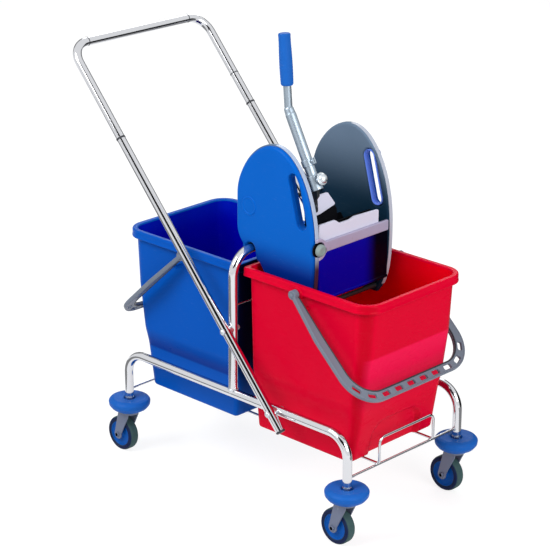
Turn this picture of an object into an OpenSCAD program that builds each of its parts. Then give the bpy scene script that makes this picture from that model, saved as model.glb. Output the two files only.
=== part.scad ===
// Double mop bucket trolley: a chromed tube frame on four casters carries a red and
// a blue bucket, a push handle and a lever wringer that hangs in the red bucket.
// Millimetres. +X is the front (red bucket), -Y the near side, +Z up.
// The origin is on the floor under the middle of the centre hoop.

/* [Buckets] */
// Length of a bucket over its rim
bucket_l = 358; // [330:1:380]
// Width of a bucket over its rim
bucket_w = 315; // [290:1:330]
// Height of a bucket from its floor to its rim
bucket_h = 367; // [330:1:390]
// Thickness of the bucket walls
bucket_wall = 3; // [2.5:0.1:4]
// Overhang of the rim beyond the wall
lip_over = 11; // [9:0.5:13]
// Height of the turned-down rim
lip_h = 19; // [14:1:24]
// How far the outer end wall draws in towards the floor
end_taper = 51; // [40:1:60]
// Depth of the step in the side walls beside the rails
side_step = 5.5; // [3:0.5:8]
// Height of that step above the bucket floor
step_h = 126; // [110:1:140]
// Corner radius of the rim at the outer end
rim_corner = 47; // [40:1:90]
// Gap from the centre of the hoop to the red rim
red_gap = 5; // [4:0.5:10]
// Gap from the centre of the hoop to the blue rim
blue_gap = 6; // [4:0.5:14]

/* [Bails] */
// Distance of the bail pivot from the inner end of the rim
pivot_s = 161; // [150:1:176]
// Reach of the bail past the rim, at its grip
bail_over = 84; // [80:1:100]
// Width of the bail strap
bail_strap = 24; // [20:0.5:28]
// Thickness of the bail strap
bail_t = 10; // [8:0.5:12]
// Angle at which the bails hang below level
bail_droop = 43; // [40:1:48]
// Diameter of the bail pins
bail_pin_d = 10; // [8:0.5:11]
// Number of slots along the grip
bail_slots = 9; // [7:2:11]

/* [Frame] */
// Outside diameter of the frame tube
tube_d = 20; // [18:0.5:22]
// Wall of the frame tube
tube_wall = 1.5; // [1.2:0.1:2]
// Clear gap from a rim to the tubes beside it
rail_gap = 10.5; // [9:0.5:20]
// Distance from a bucket's foot to the caster stem
stem_margin = 30; // [28:1:45]
// Height of the side rails above the lower ends of the legs
rail_rise = 107; // [95:1:120]
// Bend radius of the side rails
rail_bend = 50; // [44:1:60]
// Height of the hoop bar above the bucket rims
hoop_rise = 32; // [30:1:48]
// Bend radius of the centre hoop
hoop_bend = 52; // [44:1:54]
// Diameter of the wire that ties the hoop
hoop_wire_d = 4; // [3:0.5:6]
// Height of that wire below the hoop bar
hoop_wire_drop = 116; // [100:1:130]
// Diameter of the cross rods and of the rack wire
wire_d = 6; // [5:0.5:7]
// Distance between the long wires of the rack
rack_w = 174; // [150:1:200]
// Height of the upright ends of the rack
rack_rise = 59; // [50:1:70]
// Bend radius of the upright ends at the top
rack_bend = 15; // [12:1:20]
// Distance of the rack ties from the hoop
rack_tie_x = 166; // [140:1:200]

/* [Push handle] */
// Distance from the hoop to the lower ends of the handle
handle_foot_x = 161; // [150:1:172]
// How far the lower ends hang below the side rails
handle_drop = 32; // [28:1:40]
// Slope of the handle from level
handle_angle = 48.3; // [46:0.1:50]
// Length of a handle side
handle_len = 959; // [930:1:990]
// Length of the lower tube, up to the joint
handle_joint = 720; // [690:1:750]
// Bend radius of the bow
handle_bend = 46; // [40:1:55]
// Thickness of the saddles between handle and frame
saddle_t = 1.5; // [1.5:0.1:2.5]
// Diameter of the handle bolts
bolt_d = 6; // [5:0.5:7]

/* [Casters] */
// Diameter of a wheel
wheel_d = 80; // [75:1:85]
// Width of a wheel
wheel_w = 26; // [24:1:30]
// Diameter of the wheel's hub disc
hub_d = 58; // [52:1:60]
// Diameter of the axle
axle_d = 8; // [7:0.5:9]
// Distance of the axle behind the stem
trail = 23; // [20:1:28]
// Clear height over the wheel, below the fork crown
crown_gap = 17; // [14:1:20]
// Thickness of the fork crown
crown_t = 7; // [6:0.5:9]
// Thickness of the fork sides
fork_t = 3.5; // [3:0.5:5]
// Diameter of the bumper disc
bumper_d = 95; // [88:1:100]
// Height of the bumper disc
bumper_h = 32; // [28:1:36]
// Visible stem between bumper and leg
stem_gap = 4; // [3:0.5:6]
// Diameter of the stem pin
stem_d = 10; // [9:0.5:11]

/* [Wringer] */
// Inset of the wringer covers from the bucket rim, on each side
cover_inset = 29.5; // [28:0.5:36]
// Thickness of a cover
cover_t = 8; // [7:0.5:10]
// Thickness of a liner
liner_t = 12; // [10:0.5:14]
// Distance of the rear edge behind the hoop
wringer_rear = 43; // [36:1:50]
// Distance of the front edge before the hoop
wringer_front = 183; // [180:1:206]
// Height of the wringer above the hoop bar
wringer_top = 241; // [236:1:256]
// Depth of the wringer below the hoop bar
wringer_deep = 122; // [118:1:130]
// Length of the hand slots
slot_l = 118; // [100:1:124]
// Width of the hand slots
slot_w = 26; // [22:0.5:28]
// Tilt of the hand slots from upright
slot_tilt = 15; // [10:1:22]
// Diameter of the raised disc on a cover
disc_d = 42; // [36:1:46]
// Height of the front bar
bar_h = 23; // [20:0.5:26]
// Thickness of the front bar
bar_t = 6; // [5:0.5:7]
// Thickness of the front apron
apron_t = 4; // [3:0.5:5]
// Thickness of the front panel
panel_t = 5; // [4:0.5:6]
// Height of the front panel above the bar
panel_show = 31; // [24:1:36]
// Diameter of the bar knob
knob_d = 26; // [22:1:28]
// Thickness of the two jaw plates
jaw_t = 5; // [4:0.5:6]
// Diameter of the drain holes in the jaws
drain_d = 10; // [8:0.5:12]
// Diameter of the tie rods
tie_d = 10; // [8:0.5:12]
// Diameter of the press shaft
shaft_d = 12; // [10:0.5:13]
// Wire diameter of the return spring
spring_wire = 2.4; // [2:0.1:2.6]
// Number of curls of the return spring
spring_turns = 6; // [5:1:8]

/* [Lever] */
// Backward lean of the jaw at rest
jaw_lean = 5; // [4:0.5:6]
// Backward lean of the lever's lower part at rest
lever_lean = 28; // [25:0.5:31]
// Bend between the two parts of the lever
lever_bend = 23; // [18:0.5:27]
// Diameter of the lever's lower part
lever_d = 23; // [21:0.5:24]
// Diameter of the lever's upper part
lever_top_d = 17; // [15:0.5:18]
// Length of the lower part
lever_low_l = 175; // [150:1:180]
// Length from the bend to the top of the grip
lever_top_l = 156; // [140:1:170]
// Diameter of the lever grip
grip_d = 28; // [25:0.5:32]
// Length of the lever grip
grip_l = 108; // [95:1:115]

/* [Hidden] */
$fn = 64;
// Gap between pieces that move past each other
run = 0.3;
// Radial play of a pin in its bore
fit = 0.05;
// Overshoot of a cut past the face that it opens
over = 1;

tube_r = tube_d / 2;
bore_r = tube_r - tube_wall;
wire_r = wire_d / 2;

// Heights, from the floor up
axle_z = wheel_d / 2;
crown_z = wheel_d + crown_gap;
bumper_z = crown_z + crown_t;
bumper_top = bumper_z + bumper_h;
leg_z = bumper_top + stem_gap;
rod_rise = 15;
rod_z = leg_z + rod_rise;
rack_z = rod_z + wire_d;
floor_z = rack_z + wire_r + run;
rim_z = floor_z + bucket_h;
rail_z = leg_z + rail_rise;
hoop_z = rim_z + hoop_rise;
hoop_wire_z = hoop_z - hoop_wire_drop;

// Plan of the frame, from the buckets out
rim_y = bucket_w / 2;
foot_s = bucket_l - lip_over - end_taper;
rail_y = rim_y + rail_gap + tube_r;
stem_x = blue_gap + foot_s + stem_margin;
rack_y = rack_w / 2;
foot_bend = 8;
rack_x = stem_x + foot_bend;
handle_y = rail_y + tube_d + saddle_t;

// Handle line and its crossings
handle_foot_z = rail_z - handle_drop;
ferrule_t = 3;
rail_bolt_x = handle_foot_x - handle_drop / tan(handle_angle);
hoop_bolt_z = handle_foot_z + handle_foot_x * tan(handle_angle);
bolts = [[rail_bolt_x, rail_z], [0, hoop_bolt_z]];
sides = [-1, 1];

// Wringer widths, from the bucket in
cover_y = rim_y - cover_inset;
liner_y = cover_y - cover_t;
chamber_y = liner_y - liner_t;
slot_x = wringer_front - 47;
slot_z = hoop_z + 135;
slot_wall = 2;
disc_x = -2;
disc_z = hoop_z + 95;
notch_r = tube_r + run;

// Front of the wringer
bar_z = hoop_z + 40;
bar_x = wringer_front - bar_t;
apron_drop = 104;
panel_near = chamber_y - 4;
panel_far = chamber_y - 26;
hook_y = -(liner_y + chamber_y) / 2;
hook_r = knob_d / 2 + 4;
knob_x = wringer_front + 4;
knob_stem_r = 0.4 * liner_t;

// Press: its shaft, its jaw and its lever
shaft_x = 150;
shaft_z = hoop_z - 85;
shaft_r = shaft_d / 2;
jaw_y = chamber_y - 7;
jaw_h = 152;
ear_h = 218;
knuckle_r = shaft_r + 5;
spring_gap_y = 24;
spring_leg = 24;
spring_r = shaft_r + 1 + spring_wire / 2 + run;
spring_pitch = spring_wire + 0.9;
spring_face = spring_r - spring_wire / 2 - run;
lever_y = -(chamber_y - 15);
lever_foot = [shaft_x + 9, lever_y, shaft_z + 247];
lever_r = lever_d / 2;
lever_top_r = lever_top_d / 2;
socket_t = 2;
socket_r = lever_r + socket_t;

// Rear jaw, a slope between two points of the chamber
slope_low = [shaft_x - 20, shaft_z - 2];
slope_high = [shaft_x - 104, shaft_z + 122];
tie_spots = [[-15, hoop_z + 77], [shaft_x - spring_face + tie_d / 2, shaft_z - 21]];

// Curves and sweeps

function unit(v) = v / norm(v);
function arc(c, r, from, to, n) =
    [for (i = [0:n]) c + r * [cos(from + (to - from) * i / n), sin(from + (to - from) * i / n)]];
function bezier(a, b, c, d, n) =
    [for (i = [0:n]) let (t = i / n, s = 1 - t)
        s * s * s * a + 3 * s * s * t * b + 3 * s * t * t * c + t * t * t * d];

// Round bar between two points
module bar(a, b, r) {
    d = b - a;
    translate(a) rotate([0, acos(d[2] / norm(d)), atan2(d[1], d[0])]) cylinder(r = r, h = norm(d));
}

// Bend at corner p of the way from a to b
module bend(a, p, b, bend_r, r) {
    u = unit(p - a);
    v = unit(b - p);
    turn = acos(u * v);
    inward = unit(v - (u * v) * u);
    centre = p - u * bend_r * tan(turn / 2) + inward * bend_r;
    out = -inward;
    axis = cross(out, u);
    multmatrix([
        [out[0], u[0], axis[0], centre[0]],
        [out[1], u[1], axis[1], centre[1]],
        [out[2], u[2], axis[2], centre[2]],
        [0, 0, 0, 1]
    ]) rotate_extrude(angle = turn) translate([bend_r, 0]) circle(r = r);
}

function trim(p, i, bends) = (i == 0 || i == len(p) - 1) ? 0 :
    bends[i] * tan(acos(unit(p[i] - p[i - 1]) * unit(p[i + 1] - p[i])) / 2);

// Round bar along points, with a bend radius at each
module rod_path(p, bends, r) {
    for (i = [0:len(p) - 2]) {
        u = unit(p[i + 1] - p[i]);
        bar(p[i] + u * trim(p, i, bends), p[i + 1] - u * trim(p, i + 1, bends), r);
    }
    for (i = [1:len(p) - 2]) bend(p[i - 1], p[i], p[i + 1], bends[i], r);
}

function past_ends(p) = [for (i = [0:len(p) - 1])
    i == 0 ? p[0] - over * unit(p[1] - p[0]) :
    i == len(p) - 1 ? p[i] + over * unit(p[i] - p[i - 1]) : p[i]];

// Tube along points
module tube_path(p, bends) {
    difference() {
        rod_path(p, bends, tube_r);
        rod_path(past_ends(p), bends, bore_r);
    }
}

// Flat piece in the XZ plane between two values of y
module slab(y0, y1) {
    translate([0, y1, 0]) rotate([90, 0, 0]) linear_extrude(y1 - y0) children();
}

// Low dome that stands on z = 0
module dome(r, h) {
    rotate_extrude() polygon(concat([[0, 0]], [for (i = [0:10]) [r * cos(9 * i), h * sin(9 * i)]]));
}

// Frame

module handle_bolt_holes(side) {
    for (b = bolts)
        bar([b[0], side * (rail_y - tube_d), b[1]], [b[0], side * (handle_y + tube_d), b[1]],
            bolt_d / 2 + fit);
}

// Half a rail, from under the hoop to the lower end of a leg
function rail_points(end, side) = [
    [0, side * rail_y, rail_z], [end * stem_x, side * rail_y, rail_z], [end * stem_x, side * rail_y, leg_z]];

module side_rail(side) {
    bends = [0, rail_bend, 0];
    color("silver") difference() {
        for (end = sides) rod_path(rail_points(end, side), bends, tube_r);
        for (end = sides) rod_path(past_ends(rail_points(end, side)), bends, bore_r);
        handle_bolt_holes(side);
    }
}

module rail_line(side) {
    bar([-stem_x / 2, side * rail_y, rail_z], [stem_x / 2, side * rail_y, rail_z], tube_r);
}

module centre_hoop() {
    color("silver") difference() {
        tube_path([[0, -rail_y, rail_z], [0, -rail_y, hoop_z], [0, rail_y, hoop_z], [0, rail_y, rail_z]],
            [0, hoop_bend, hoop_bend, 0]);
        for (side = sides) {
            rail_line(side);
            handle_bolt_holes(side);
        }
    }
}

module hoop_wire() {
    color("silver") difference() {
        bar([0, -rail_y, hoop_wire_z], [0, rail_y, hoop_wire_z], hoop_wire_d / 2);
        for (side = sides) bar([0, side * rail_y, rail_z], [0, side * rail_y, hoop_z], tube_r);
    }
}

module cross_rod(end) {
    color("silver") difference() {
        bar([end * stem_x, -rail_y, rod_z], [end * stem_x, rail_y, rod_z], wire_r);
        for (side = sides) bar([end * stem_x, side * rail_y, leg_z], [end * stem_x, side * rail_y, rail_z], tube_r);
    }
}

// Half of the wire rack that the buckets stand on, with its upright end
module rack_half(end) {
    x = end * rack_x;
    top = rack_z + rack_rise;
    color("silver") rod_path(
        [[0, -rack_y, rack_z], [x, -rack_y, rack_z], [x, -rack_y, top],
         [x, rack_y, top], [x, rack_y, rack_z], [0, rack_y, rack_z]],
        [0, foot_bend, rack_bend, rack_bend, foot_bend, 0], wire_r);
}

module rack_ties() {
    for (x = [-rack_tie_x, rack_tie_x])
        color("silver") bar([x, -rack_y - wire_d, rod_z], [x, rack_y + wire_d, rod_z], wire_r);
}

// Push handle

function on_handle(t, side) =
    [handle_foot_x - t * cos(handle_angle), side * handle_y, handle_foot_z + t * sin(handle_angle)];

module at_handle(t, side) {
    translate(on_handle(t, side)) rotate([0, handle_angle - 90, 0]) children();
}

module handle_tube(side) {
    color("silver") difference() {
        bar(on_handle(0, side), on_handle(handle_joint, side), tube_r);
        bar(on_handle(-over, side), on_handle(handle_joint + over, side), bore_r);
        handle_bolt_holes(side);
    }
}

module handle_bow() {
    start = handle_joint + ferrule_t;
    color("silver") at_handle(0, 0) tube_path(
        [[0, -handle_y, start], [0, -handle_y, handle_len], [0, handle_y, handle_len], [0, handle_y, start]],
        [0, handle_bend, handle_bend, 0]);
}

// Joint rings with a spigot into both tubes
module handle_ferrules() {
    spigot_l = 35;
    for (side = sides) color("dimgray") at_handle(handle_joint, side) {
        cylinder(r = tube_r + 0.6, h = ferrule_t);
        translate([0, 0, -spigot_l]) cylinder(r = bore_r - fit, h = 2 * spigot_l + ferrule_t);
    }
}

module handle_bolts() {
    head_d = 12;
    nut_h = 5;
    for (side = sides, b = bolts) color("gray") translate([b[0], 0, b[1]]) rotate([-90 * side, 0, 0]) {
        translate([0, 0, handle_y + tube_r]) dome(head_d / 2, 4);
        translate([0, 0, rail_y - tube_r - nut_h]) cylinder(d = bolt_d, h = handle_y - rail_y + tube_d + nut_h);
        translate([0, 0, rail_y - tube_r - nut_h]) cylinder(d = 1.8 * bolt_d, h = nut_h, $fn = 6);
    }
}

// Saddles hollowed to both tubes
module handle_saddles() {
    for (side = sides, b = bolts) color("gray") difference() {
        bar([b[0], side * rail_y, b[1]], [b[0], side * handle_y, b[1]], tube_r - 1.5);
        rail_line(side);
        bar([0, side * rail_y, rail_z], [0, side * rail_y, hoop_z], tube_r);
        bar(on_handle(0, side), on_handle(handle_joint, side), tube_r);
        handle_bolt_holes(side);
    }
}

module handle_end_caps() {
    for (side = sides) color("dimgray") at_handle(0, side) {
        translate([0, 0, -4]) cylinder(r = tube_r + 0.5, h = 4);
        cylinder(r = bore_r - fit, h = 14);
    }
}

// Casters, each drawn about its own stem

module at_stem(end, side) {
    translate([end * stem_x, side * rail_y, 0]) children();
}

module caster_stems() {
    head_t = 3;
    for (end = sides, side = sides) color("gray") at_stem(end, side) {
        translate([0, 0, leg_z]) cylinder(r = bore_r - fit, h = 42);
        translate([0, 0, bumper_top - run]) cylinder(r = tube_r - 2, h = stem_gap + run);
        translate([0, 0, crown_z - head_t]) cylinder(d = stem_d, h = leg_z - crown_z + head_t);
        translate([0, 0, bumper_z + run]) cylinder(d = stem_d + 2, h = stem_gap + bumper_h - run);
        translate([0, 0, crown_z - head_t - run]) cylinder(d = stem_d + 8, h = head_t);
    }
}

module bumper(end, side) {
    r = bumper_d / 2;
    round_r = 9;
    dimple_r = tube_r + 1;
    hole_r = stem_d / 2 + 1.5;
    color("royalblue") at_stem(end, side) rotate_extrude() polygon(concat(
        [[hole_r, bumper_z], [24, bumper_z], [31, bumper_z + 4]],
        arc([r - round_r, bumper_z + 15], round_r, -65, 0, 6),
        arc([r - round_r, bumper_top - 11], round_r, 0, 75, 7),
        [[28, bumper_top], [dimple_r + 3, bumper_top - 1.5], [dimple_r, bumper_top - 6],
         [hole_r, bumper_top - 6]]));
}

module fork(end, side) {
    crown_r = 22;
    eye_r = 11;
    inner = wheel_w / 2 + 1 + run;
    color("slategray") at_stem(end, side) difference() {
        union() {
            translate([0, 0, crown_z]) cylinder(r = crown_r, h = crown_t);
            for (y = [-inner - fork_t, inner]) slab(y, y + fork_t) {
                polygon([[-crown_r + 3, crown_z + crown_t], [crown_r - 9, crown_z + crown_t],
                         [eye_r - trail - 1, axle_z - 4], [-eye_r - trail + 0.5, axle_z - 3]]);
                translate([-trail, axle_z]) circle(r = eye_r);
            }
        }
        translate([0, 0, crown_z - over]) cylinder(r = stem_d / 2 + fit, h = crown_t + 2 * over);
        bar([-trail, -wheel_w, axle_z], [-trail, wheel_w, axle_z], axle_d / 2 + fit);
    }
}

module axle(end, side) {
    half = wheel_w / 2 + 1 + run + fork_t;
    head_t = 4;
    color("silver") at_stem(end, side) translate([-trail, 0, axle_z]) rotate([90, 0, 0]) {
        translate([0, 0, -half]) cylinder(d = axle_d, h = 2 * half);
        for (z = [-half - head_t, half]) translate([0, 0, z]) cylinder(d = axle_d + 6, h = head_t, $fn = 6);
    }
}

module at_axle(end, side) {
    at_stem(end, side) translate([-trail, 0, axle_z]) rotate([90, 0, 0]) children();
}

module hub(end, side) {
    r = hub_d / 2;
    boss = wheel_w / 2 + 1;
    rim = wheel_w / 2 - 2;
    bore = axle_d / 2 + fit;
    color("royalblue") at_axle(end, side) rotate_extrude() polygon([
        [bore, -boss], [bore + 5, -boss], [bore + 7, -boss + 5], [r - 5, -rim + 4], [r - 3, -rim], [r, -rim],
        [r, rim], [r - 3, rim], [r - 5, rim - 4], [bore + 7, boss - 5], [bore + 5, boss], [bore, boss]]);
}

module tyre(end, side) {
    r = hub_d / 2;
    half = wheel_w / 2;
    round_r = 6;
    color("darkslategray") at_axle(end, side) rotate_extrude() polygon(concat(
        [[r, 2 - half], [r + 2, -half]],
        arc([axle_z - round_r, round_r - half], round_r, -90, 0, 6),
        arc([axle_z - round_r, half - round_r], round_r, 0, 90, 6),
        [[r + 2, half], [r, half - 2]]));
}

// Buckets, drawn from the inner end of the rim outwards

module at_bucket(end) {
    if (end > 0) translate([red_gap, 0, 0]) children();
    else mirror([1, 0, 0]) translate([blue_gap, 0, 0]) children();
}

// Plan with its own corner radius at the inner and the outer end
module plan(s0, s1, half, r0, r1) {
    translate([s0 + r0, -half]) square([s1 - r1 - s0 - r0, 2 * half]);
    translate([s0, r0 - half]) square([s1 - s0 - r1, 2 * (half - r0)]);
    translate([s0 + r0, r1 - half]) square([s1 - s0 - r0, 2 * (half - r1)]);
    for (y = sides) {
        translate([s0 + r0, y * (half - r0)]) circle(r = r0);
        translate([s1 - r1, y * (half - r1)]) circle(r = r1);
    }
}

// Wall between two plans, each [z, inner end, outer end, half width, inner radius, outer radius]
module loft(a, b) {
    hull() for (p = [a, b]) for (y = sides) {
        translate([p[1] + p[4], y * (p[3] - p[4]), p[0]]) cylinder(r = p[4], h = 0.01, $fn = 32);
        translate([p[2] - p[5], y * (p[3] - p[5]), p[0]]) cylinder(r = p[5], h = 0.01, $fn = 32);
    }
}

step_z = floor_z + step_h;
wall_y = rim_y - lip_over;
foot_y = wall_y - side_step - 5.5;
wall_corner = rim_corner - lip_over;
inner_corner = 10;
low_taper = 22;
skin = [
    [floor_z, lip_over + 16, foot_s, foot_y, inner_corner, wall_corner - 20],
    [step_z - 9, lip_over + 8, foot_s + low_taper, wall_y - side_step - 2, inner_corner, wall_corner - 12],
    [step_z + 9, lip_over + 6, foot_s + low_taper + 4, wall_y - 2, inner_corner, wall_corner - 9],
    [rim_z - 1, lip_over, bucket_l - lip_over, wall_y, inner_corner, wall_corner]];

function inside(p, lift) = [p[0] + lift, p[1] + bucket_wall, p[2] - bucket_wall, p[3] - bucket_wall,
    p[4] - bucket_wall, p[5] - bucket_wall];

pivot_z = rim_z - lip_h + 2;
pin_y = rim_y + 2.5;
arm_y = pin_y + 0.5;
arm_out = handle_y - tube_r - 1.5;
peg_r = 4;
peg_at = 36;
peg_s = pivot_s + peg_at * cos(bail_droop) - (bail_t / 2 + peg_r + run) * sin(bail_droop);
peg_z = pivot_z - peg_at * sin(bail_droop) - (bail_t / 2 + peg_r + run) * cos(bail_droop);

module bucket(end) {
    floor_t = bucket_wall + 0.5;
    boss_r = bail_pin_d / 2 + 7;
    arch_w = 150;
    arch_h = 74;
    arch_deep = 1.4;
    wall_tilt = atan2(low_taper, step_h - 9);
    at_bucket(end) difference() {
        union() {
            difference() {
                union() for (i = [0:2]) loft(skin[i], skin[i + 1]);
                loft(inside(skin[0], floor_t), inside(skin[1], 2));
                loft(inside(skin[1], 2), inside(skin[2], 2));
                loft(inside(skin[2], 2), inside(skin[3], 2 * over));
            }
            translate([0, 0, rim_z - bucket_wall]) linear_extrude(bucket_wall) difference() {
                plan(0, bucket_l, rim_y, inner_corner, rim_corner);
                plan(lip_over + bucket_wall, bucket_l - lip_over - bucket_wall, wall_y - bucket_wall,
                    inner_corner - bucket_wall, wall_corner - bucket_wall);
            }
            translate([0, 0, rim_z - lip_h]) linear_extrude(lip_h) difference() {
                plan(0, bucket_l, rim_y, inner_corner, rim_corner);
                plan(bucket_wall, bucket_l - bucket_wall, rim_y - bucket_wall, inner_corner - bucket_wall,
                    rim_corner - bucket_wall);
            }
            for (side = sides) {
                bar([pivot_s, side * (wall_y - 1), pivot_z], [pivot_s, side * pin_y, pivot_z], boss_r);
                bar([pivot_s, side * pin_y, pivot_z], [pivot_s, side * (arm_out - 2), pivot_z], bail_pin_d / 2);
                bar([peg_s, side * (wall_y - 2), peg_z], [peg_s, side * (arm_y + 10), peg_z], peg_r);
            }
        }
        translate([foot_s - arch_deep, 0, floor_z]) rotate([0, wall_tilt, 0]) rotate([90, 0, 90])
            linear_extrude(30) {
                translate([-arch_w / 2, -5]) square([arch_w, arch_h + 5 - arch_w / 4]);
                translate([-arch_w / 4, 0]) square([arch_w / 2, arch_h]);
                for (y = sides) translate([y * arch_w / 4, arch_h - arch_w / 4]) circle(r = arch_w / 4);
            }
    }
}

module blue_bucket() { color("mediumblue") bucket(-1); }
module red_bucket() { color("crimson") bucket(1); }

// Bails: a flat strap in the shape of a horseshoe, slotted along the grip
bail_reach = bucket_l - pivot_s + bail_over;
bail_corner = 78;

function half_strap(y0, y1, reach, corner) =
    concat([[0, y0], [110, y1]], arc([reach - corner, y1 - corner], corner, 90, 0, 12));
function both_ways(half) =
    concat(half, [for (i = [len(half) - 1:-1:0]) [half[i][0], -half[i][1]]]);

module bail(end) {
    out = half_strap(arm_y + 20, arm_out, bail_reach, bail_corner);
    in = half_strap(arm_y, arm_out - bail_strap, bail_reach - bail_strap, bail_corner - 18);
    pitch = 22;
    eye_r = bail_pin_d / 2 + 6;
    at_bucket(end) translate([pivot_s, 0, pivot_z]) rotate([0, bail_droop, 0]) difference() {
        union() {
            translate([0, 0, -bail_t / 2]) linear_extrude(bail_t) difference() {
                polygon(both_ways(out));
                polygon(concat([[-over, arm_y]], both_ways(in), [[-over, -arm_y]]));
                for (i = [0:bail_slots - 1])
                    translate([bail_reach - bail_strap / 2, (i - (bail_slots - 1) / 2) * pitch])
                        square([bail_strap / 2, pitch / 2.4], center = true);
                for (i = [0:2], side = sides)
                    translate([135 + i * pitch, side * (arm_out - bail_strap / 2)])
                        square([pitch / 2.4, bail_strap / 2], center = true);
            }
            for (side = sides) bar([0, side * arm_y, 0], [0, side * (arm_y + 20), 0], eye_r);
        }
        for (side = sides) bar([0, side * (arm_y - over), 0], [0, side * (arm_y + 20 + over), 0], bail_pin_d / 2 + fit);
    }
}

module blue_bail() { color("slategray") bail(-1); }
module red_bail() { color("slategray") bail(1); }

// Wringer shoulders: each is a liner with a cover on its outside

module shoulder_outline() {
    crown_x = 68;
    rear = -wringer_rear;
    top = hoop_z + wringer_top;
    low = hoop_z - wringer_deep;
    lap_z = rim_z + 4;
    polygon(concat(
        bezier([rear, hoop_z + 117], [rear, top - 72], [crown_x - 60, top], [crown_x, top], 12),
        bezier([crown_x, top], [crown_x + 62, top], [wringer_front, top - 92], [wringer_front, hoop_z + 37], 16),
        bezier([wringer_front, hoop_z + 22], [wringer_front, hoop_z - 40], [wringer_front - 5, low + 30],
               [wringer_front - 34, low], 8),
        [[82, low], [38, rim_z - 14]],
        bezier([25, lap_z], [-5, lap_z + 14], [rear, lap_z + 35], [rear, lap_z + 75], 10)));
}

module slot_shape(w) {
    translate([slot_x, slot_z]) rotate(slot_tilt) {
        square([w, slot_l - slot_w], center = true);
        for (y = sides) translate([0, y * (slot_l - slot_w) / 2]) circle(d = w);
    }
}

// Notch that drops over the hoop bar
module hoop_notch() {
    translate([0, hoop_z]) circle(r = notch_r);
    translate([-notch_r, hoop_z - 60]) square([2 * notch_r, 60]);
}

// Near cover, with a collar through the liner's slot
module cover() {
    inset = 2.5;
    field = 2;
    difference() {
        union() {
            slab(-cover_y + field, -liner_y) offset(delta = -inset) shoulder_outline();
            slab(-cover_y, -cover_y + field) offset(delta = -inset - 5) shoulder_outline();
            slab(-cover_y - 1.5, -cover_y) translate([disc_x, disc_z]) circle(d = disc_d);
            slab(-liner_y, -chamber_y) slot_shape(slot_w + 2 * slot_wall);
        }
        slab(-cover_y - over, -chamber_y + over) slot_shape(slot_w);
        slab(-cover_y - over, -chamber_y + over) hoop_notch();
    }
}

module liner() {
    difference() {
        slab(-liner_y, -chamber_y) shoulder_outline();
        slab(-liner_y - over, -chamber_y + over) {
            slot_shape(slot_w + 2 * slot_wall + 2 * run);
            hoop_notch();
            translate([shaft_x, shaft_z]) circle(r = shaft_r + fit);
            for (t = tie_spots) translate(t) circle(d = tie_d + 2 * fit);
        }
        bar([knob_x - 30, hook_y, bar_z], [knob_x + 20, hook_y, bar_z], knob_stem_r + fit);
        bar([knob_x - 30, -hook_y, bar_z], [knob_x + 20, -hook_y, bar_z], knob_stem_r + fit);
    }
}

module near_cover() { color("dodgerblue") cover(); }
module far_cover() { color("dodgerblue") mirror([0, 1, 0]) cover(); }
module near_liner() { color("lightslategray") liner(); }
module far_liner() { color("lightslategray") mirror([0, 1, 0]) liner(); }

// Front of the wringer

module front_apron() {
    lip_r = 4;
    color("navy") {
        translate([bar_x, -chamber_y, bar_z - apron_drop - bar_h / 2])
            cube([apron_t, 2 * chamber_y, apron_drop]);
        bar([bar_x + apron_t / 2, -chamber_y, bar_z - apron_drop - bar_h / 2],
            [bar_x + apron_t / 2, chamber_y, bar_z - apron_drop - bar_h / 2], lip_r);
    }
}

module front_panel() {
    top = bar_z + bar_h / 2 + panel_show;
    rise = 6;
    dip = 4;
    tail = 45;
    color("white") translate([bar_x - panel_t, 0, 0]) rotate([90, 0, 90]) linear_extrude(panel_t) polygon([
        [-panel_near, bar_z - bar_h / 2 - tail], [panel_far, bar_z - bar_h / 2 - tail], [panel_far, top - 3],
        [5, top], [-10, top - dip], [-40, top - dip], [-55, top + rise], [-panel_near, top + rise]]);
}

// Flat bar with a hook that turns round the knob
module front_bar() {
    hook_t = 3.5;
    color("lightgray") {
        translate([bar_x, hook_y + hook_r, bar_z - bar_h / 2]) cube([bar_t, chamber_y - hook_y - hook_r, bar_h]);
        translate([knob_x - hook_t, hook_y, bar_z]) rotate([90, 0, 90]) linear_extrude(hook_t) difference() {
            circle(r = hook_r + 7);
            circle(r = hook_r);
            translate([-2 * hook_r, -3 * hook_r]) square([2 * hook_r, 3 * hook_r]);
        }
        translate([bar_x, hook_y + hook_r, bar_z - bar_h / 2]) cube([knob_x - bar_x, 7, bar_h / 2]);
    }
}

module bar_knob() {
    r = knob_d / 2;
    color("lightsteelblue") translate([knob_x, hook_y, bar_z]) rotate([0, 90, 0]) {
        translate([0, 0, -28]) cylinder(r = knob_stem_r, h = 30);
        rotate_extrude() polygon(concat([[0, 0], [r, 0]], arc([r - 4, 6], 4, 0, 90, 6), [[0, 10]]));
    }
}

// Sloping jaw fixed between the liners, drilled so that it drains
module rear_jaw() {
    run_v = slope_high - slope_low;
    tilt = atan2(-run_v[0], run_v[1]);
    rows = 5;
    columns = 7;
    pitch = 24;
    color("gainsboro") translate([slope_low[0], 0, slope_low[1]]) rotate([0, -tilt, 0]) difference() {
        translate([-jaw_t, -chamber_y, 0]) cube([jaw_t, 2 * chamber_y, norm(run_v)]);
        for (i = [0:columns - 1], k = [0:rows - 1])
            translate([-jaw_t - over, (i - (columns - 1) / 2) * pitch, 26 + k * pitch])
                rotate([0, 90, 0]) cylinder(d = drain_d, h = jaw_t + 2 * over);
    }
}

module tie_rods() {
    for (t = tie_spots) color("silver") bar([t[0], -liner_y, t[1]], [t[0], liner_y, t[1]], tie_d / 2);
}

// Press: the moving jaw turns on the hinge shaft and carries the lever

module hinge_shaft() {
    color("silver") bar([shaft_x, -liner_y, shaft_z], [shaft_x, liner_y, shaft_z], shaft_r);
}

module at_jaw() {
    translate([shaft_x, 0, shaft_z]) rotate([0, -jaw_lean, 0]) children();
}

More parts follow.
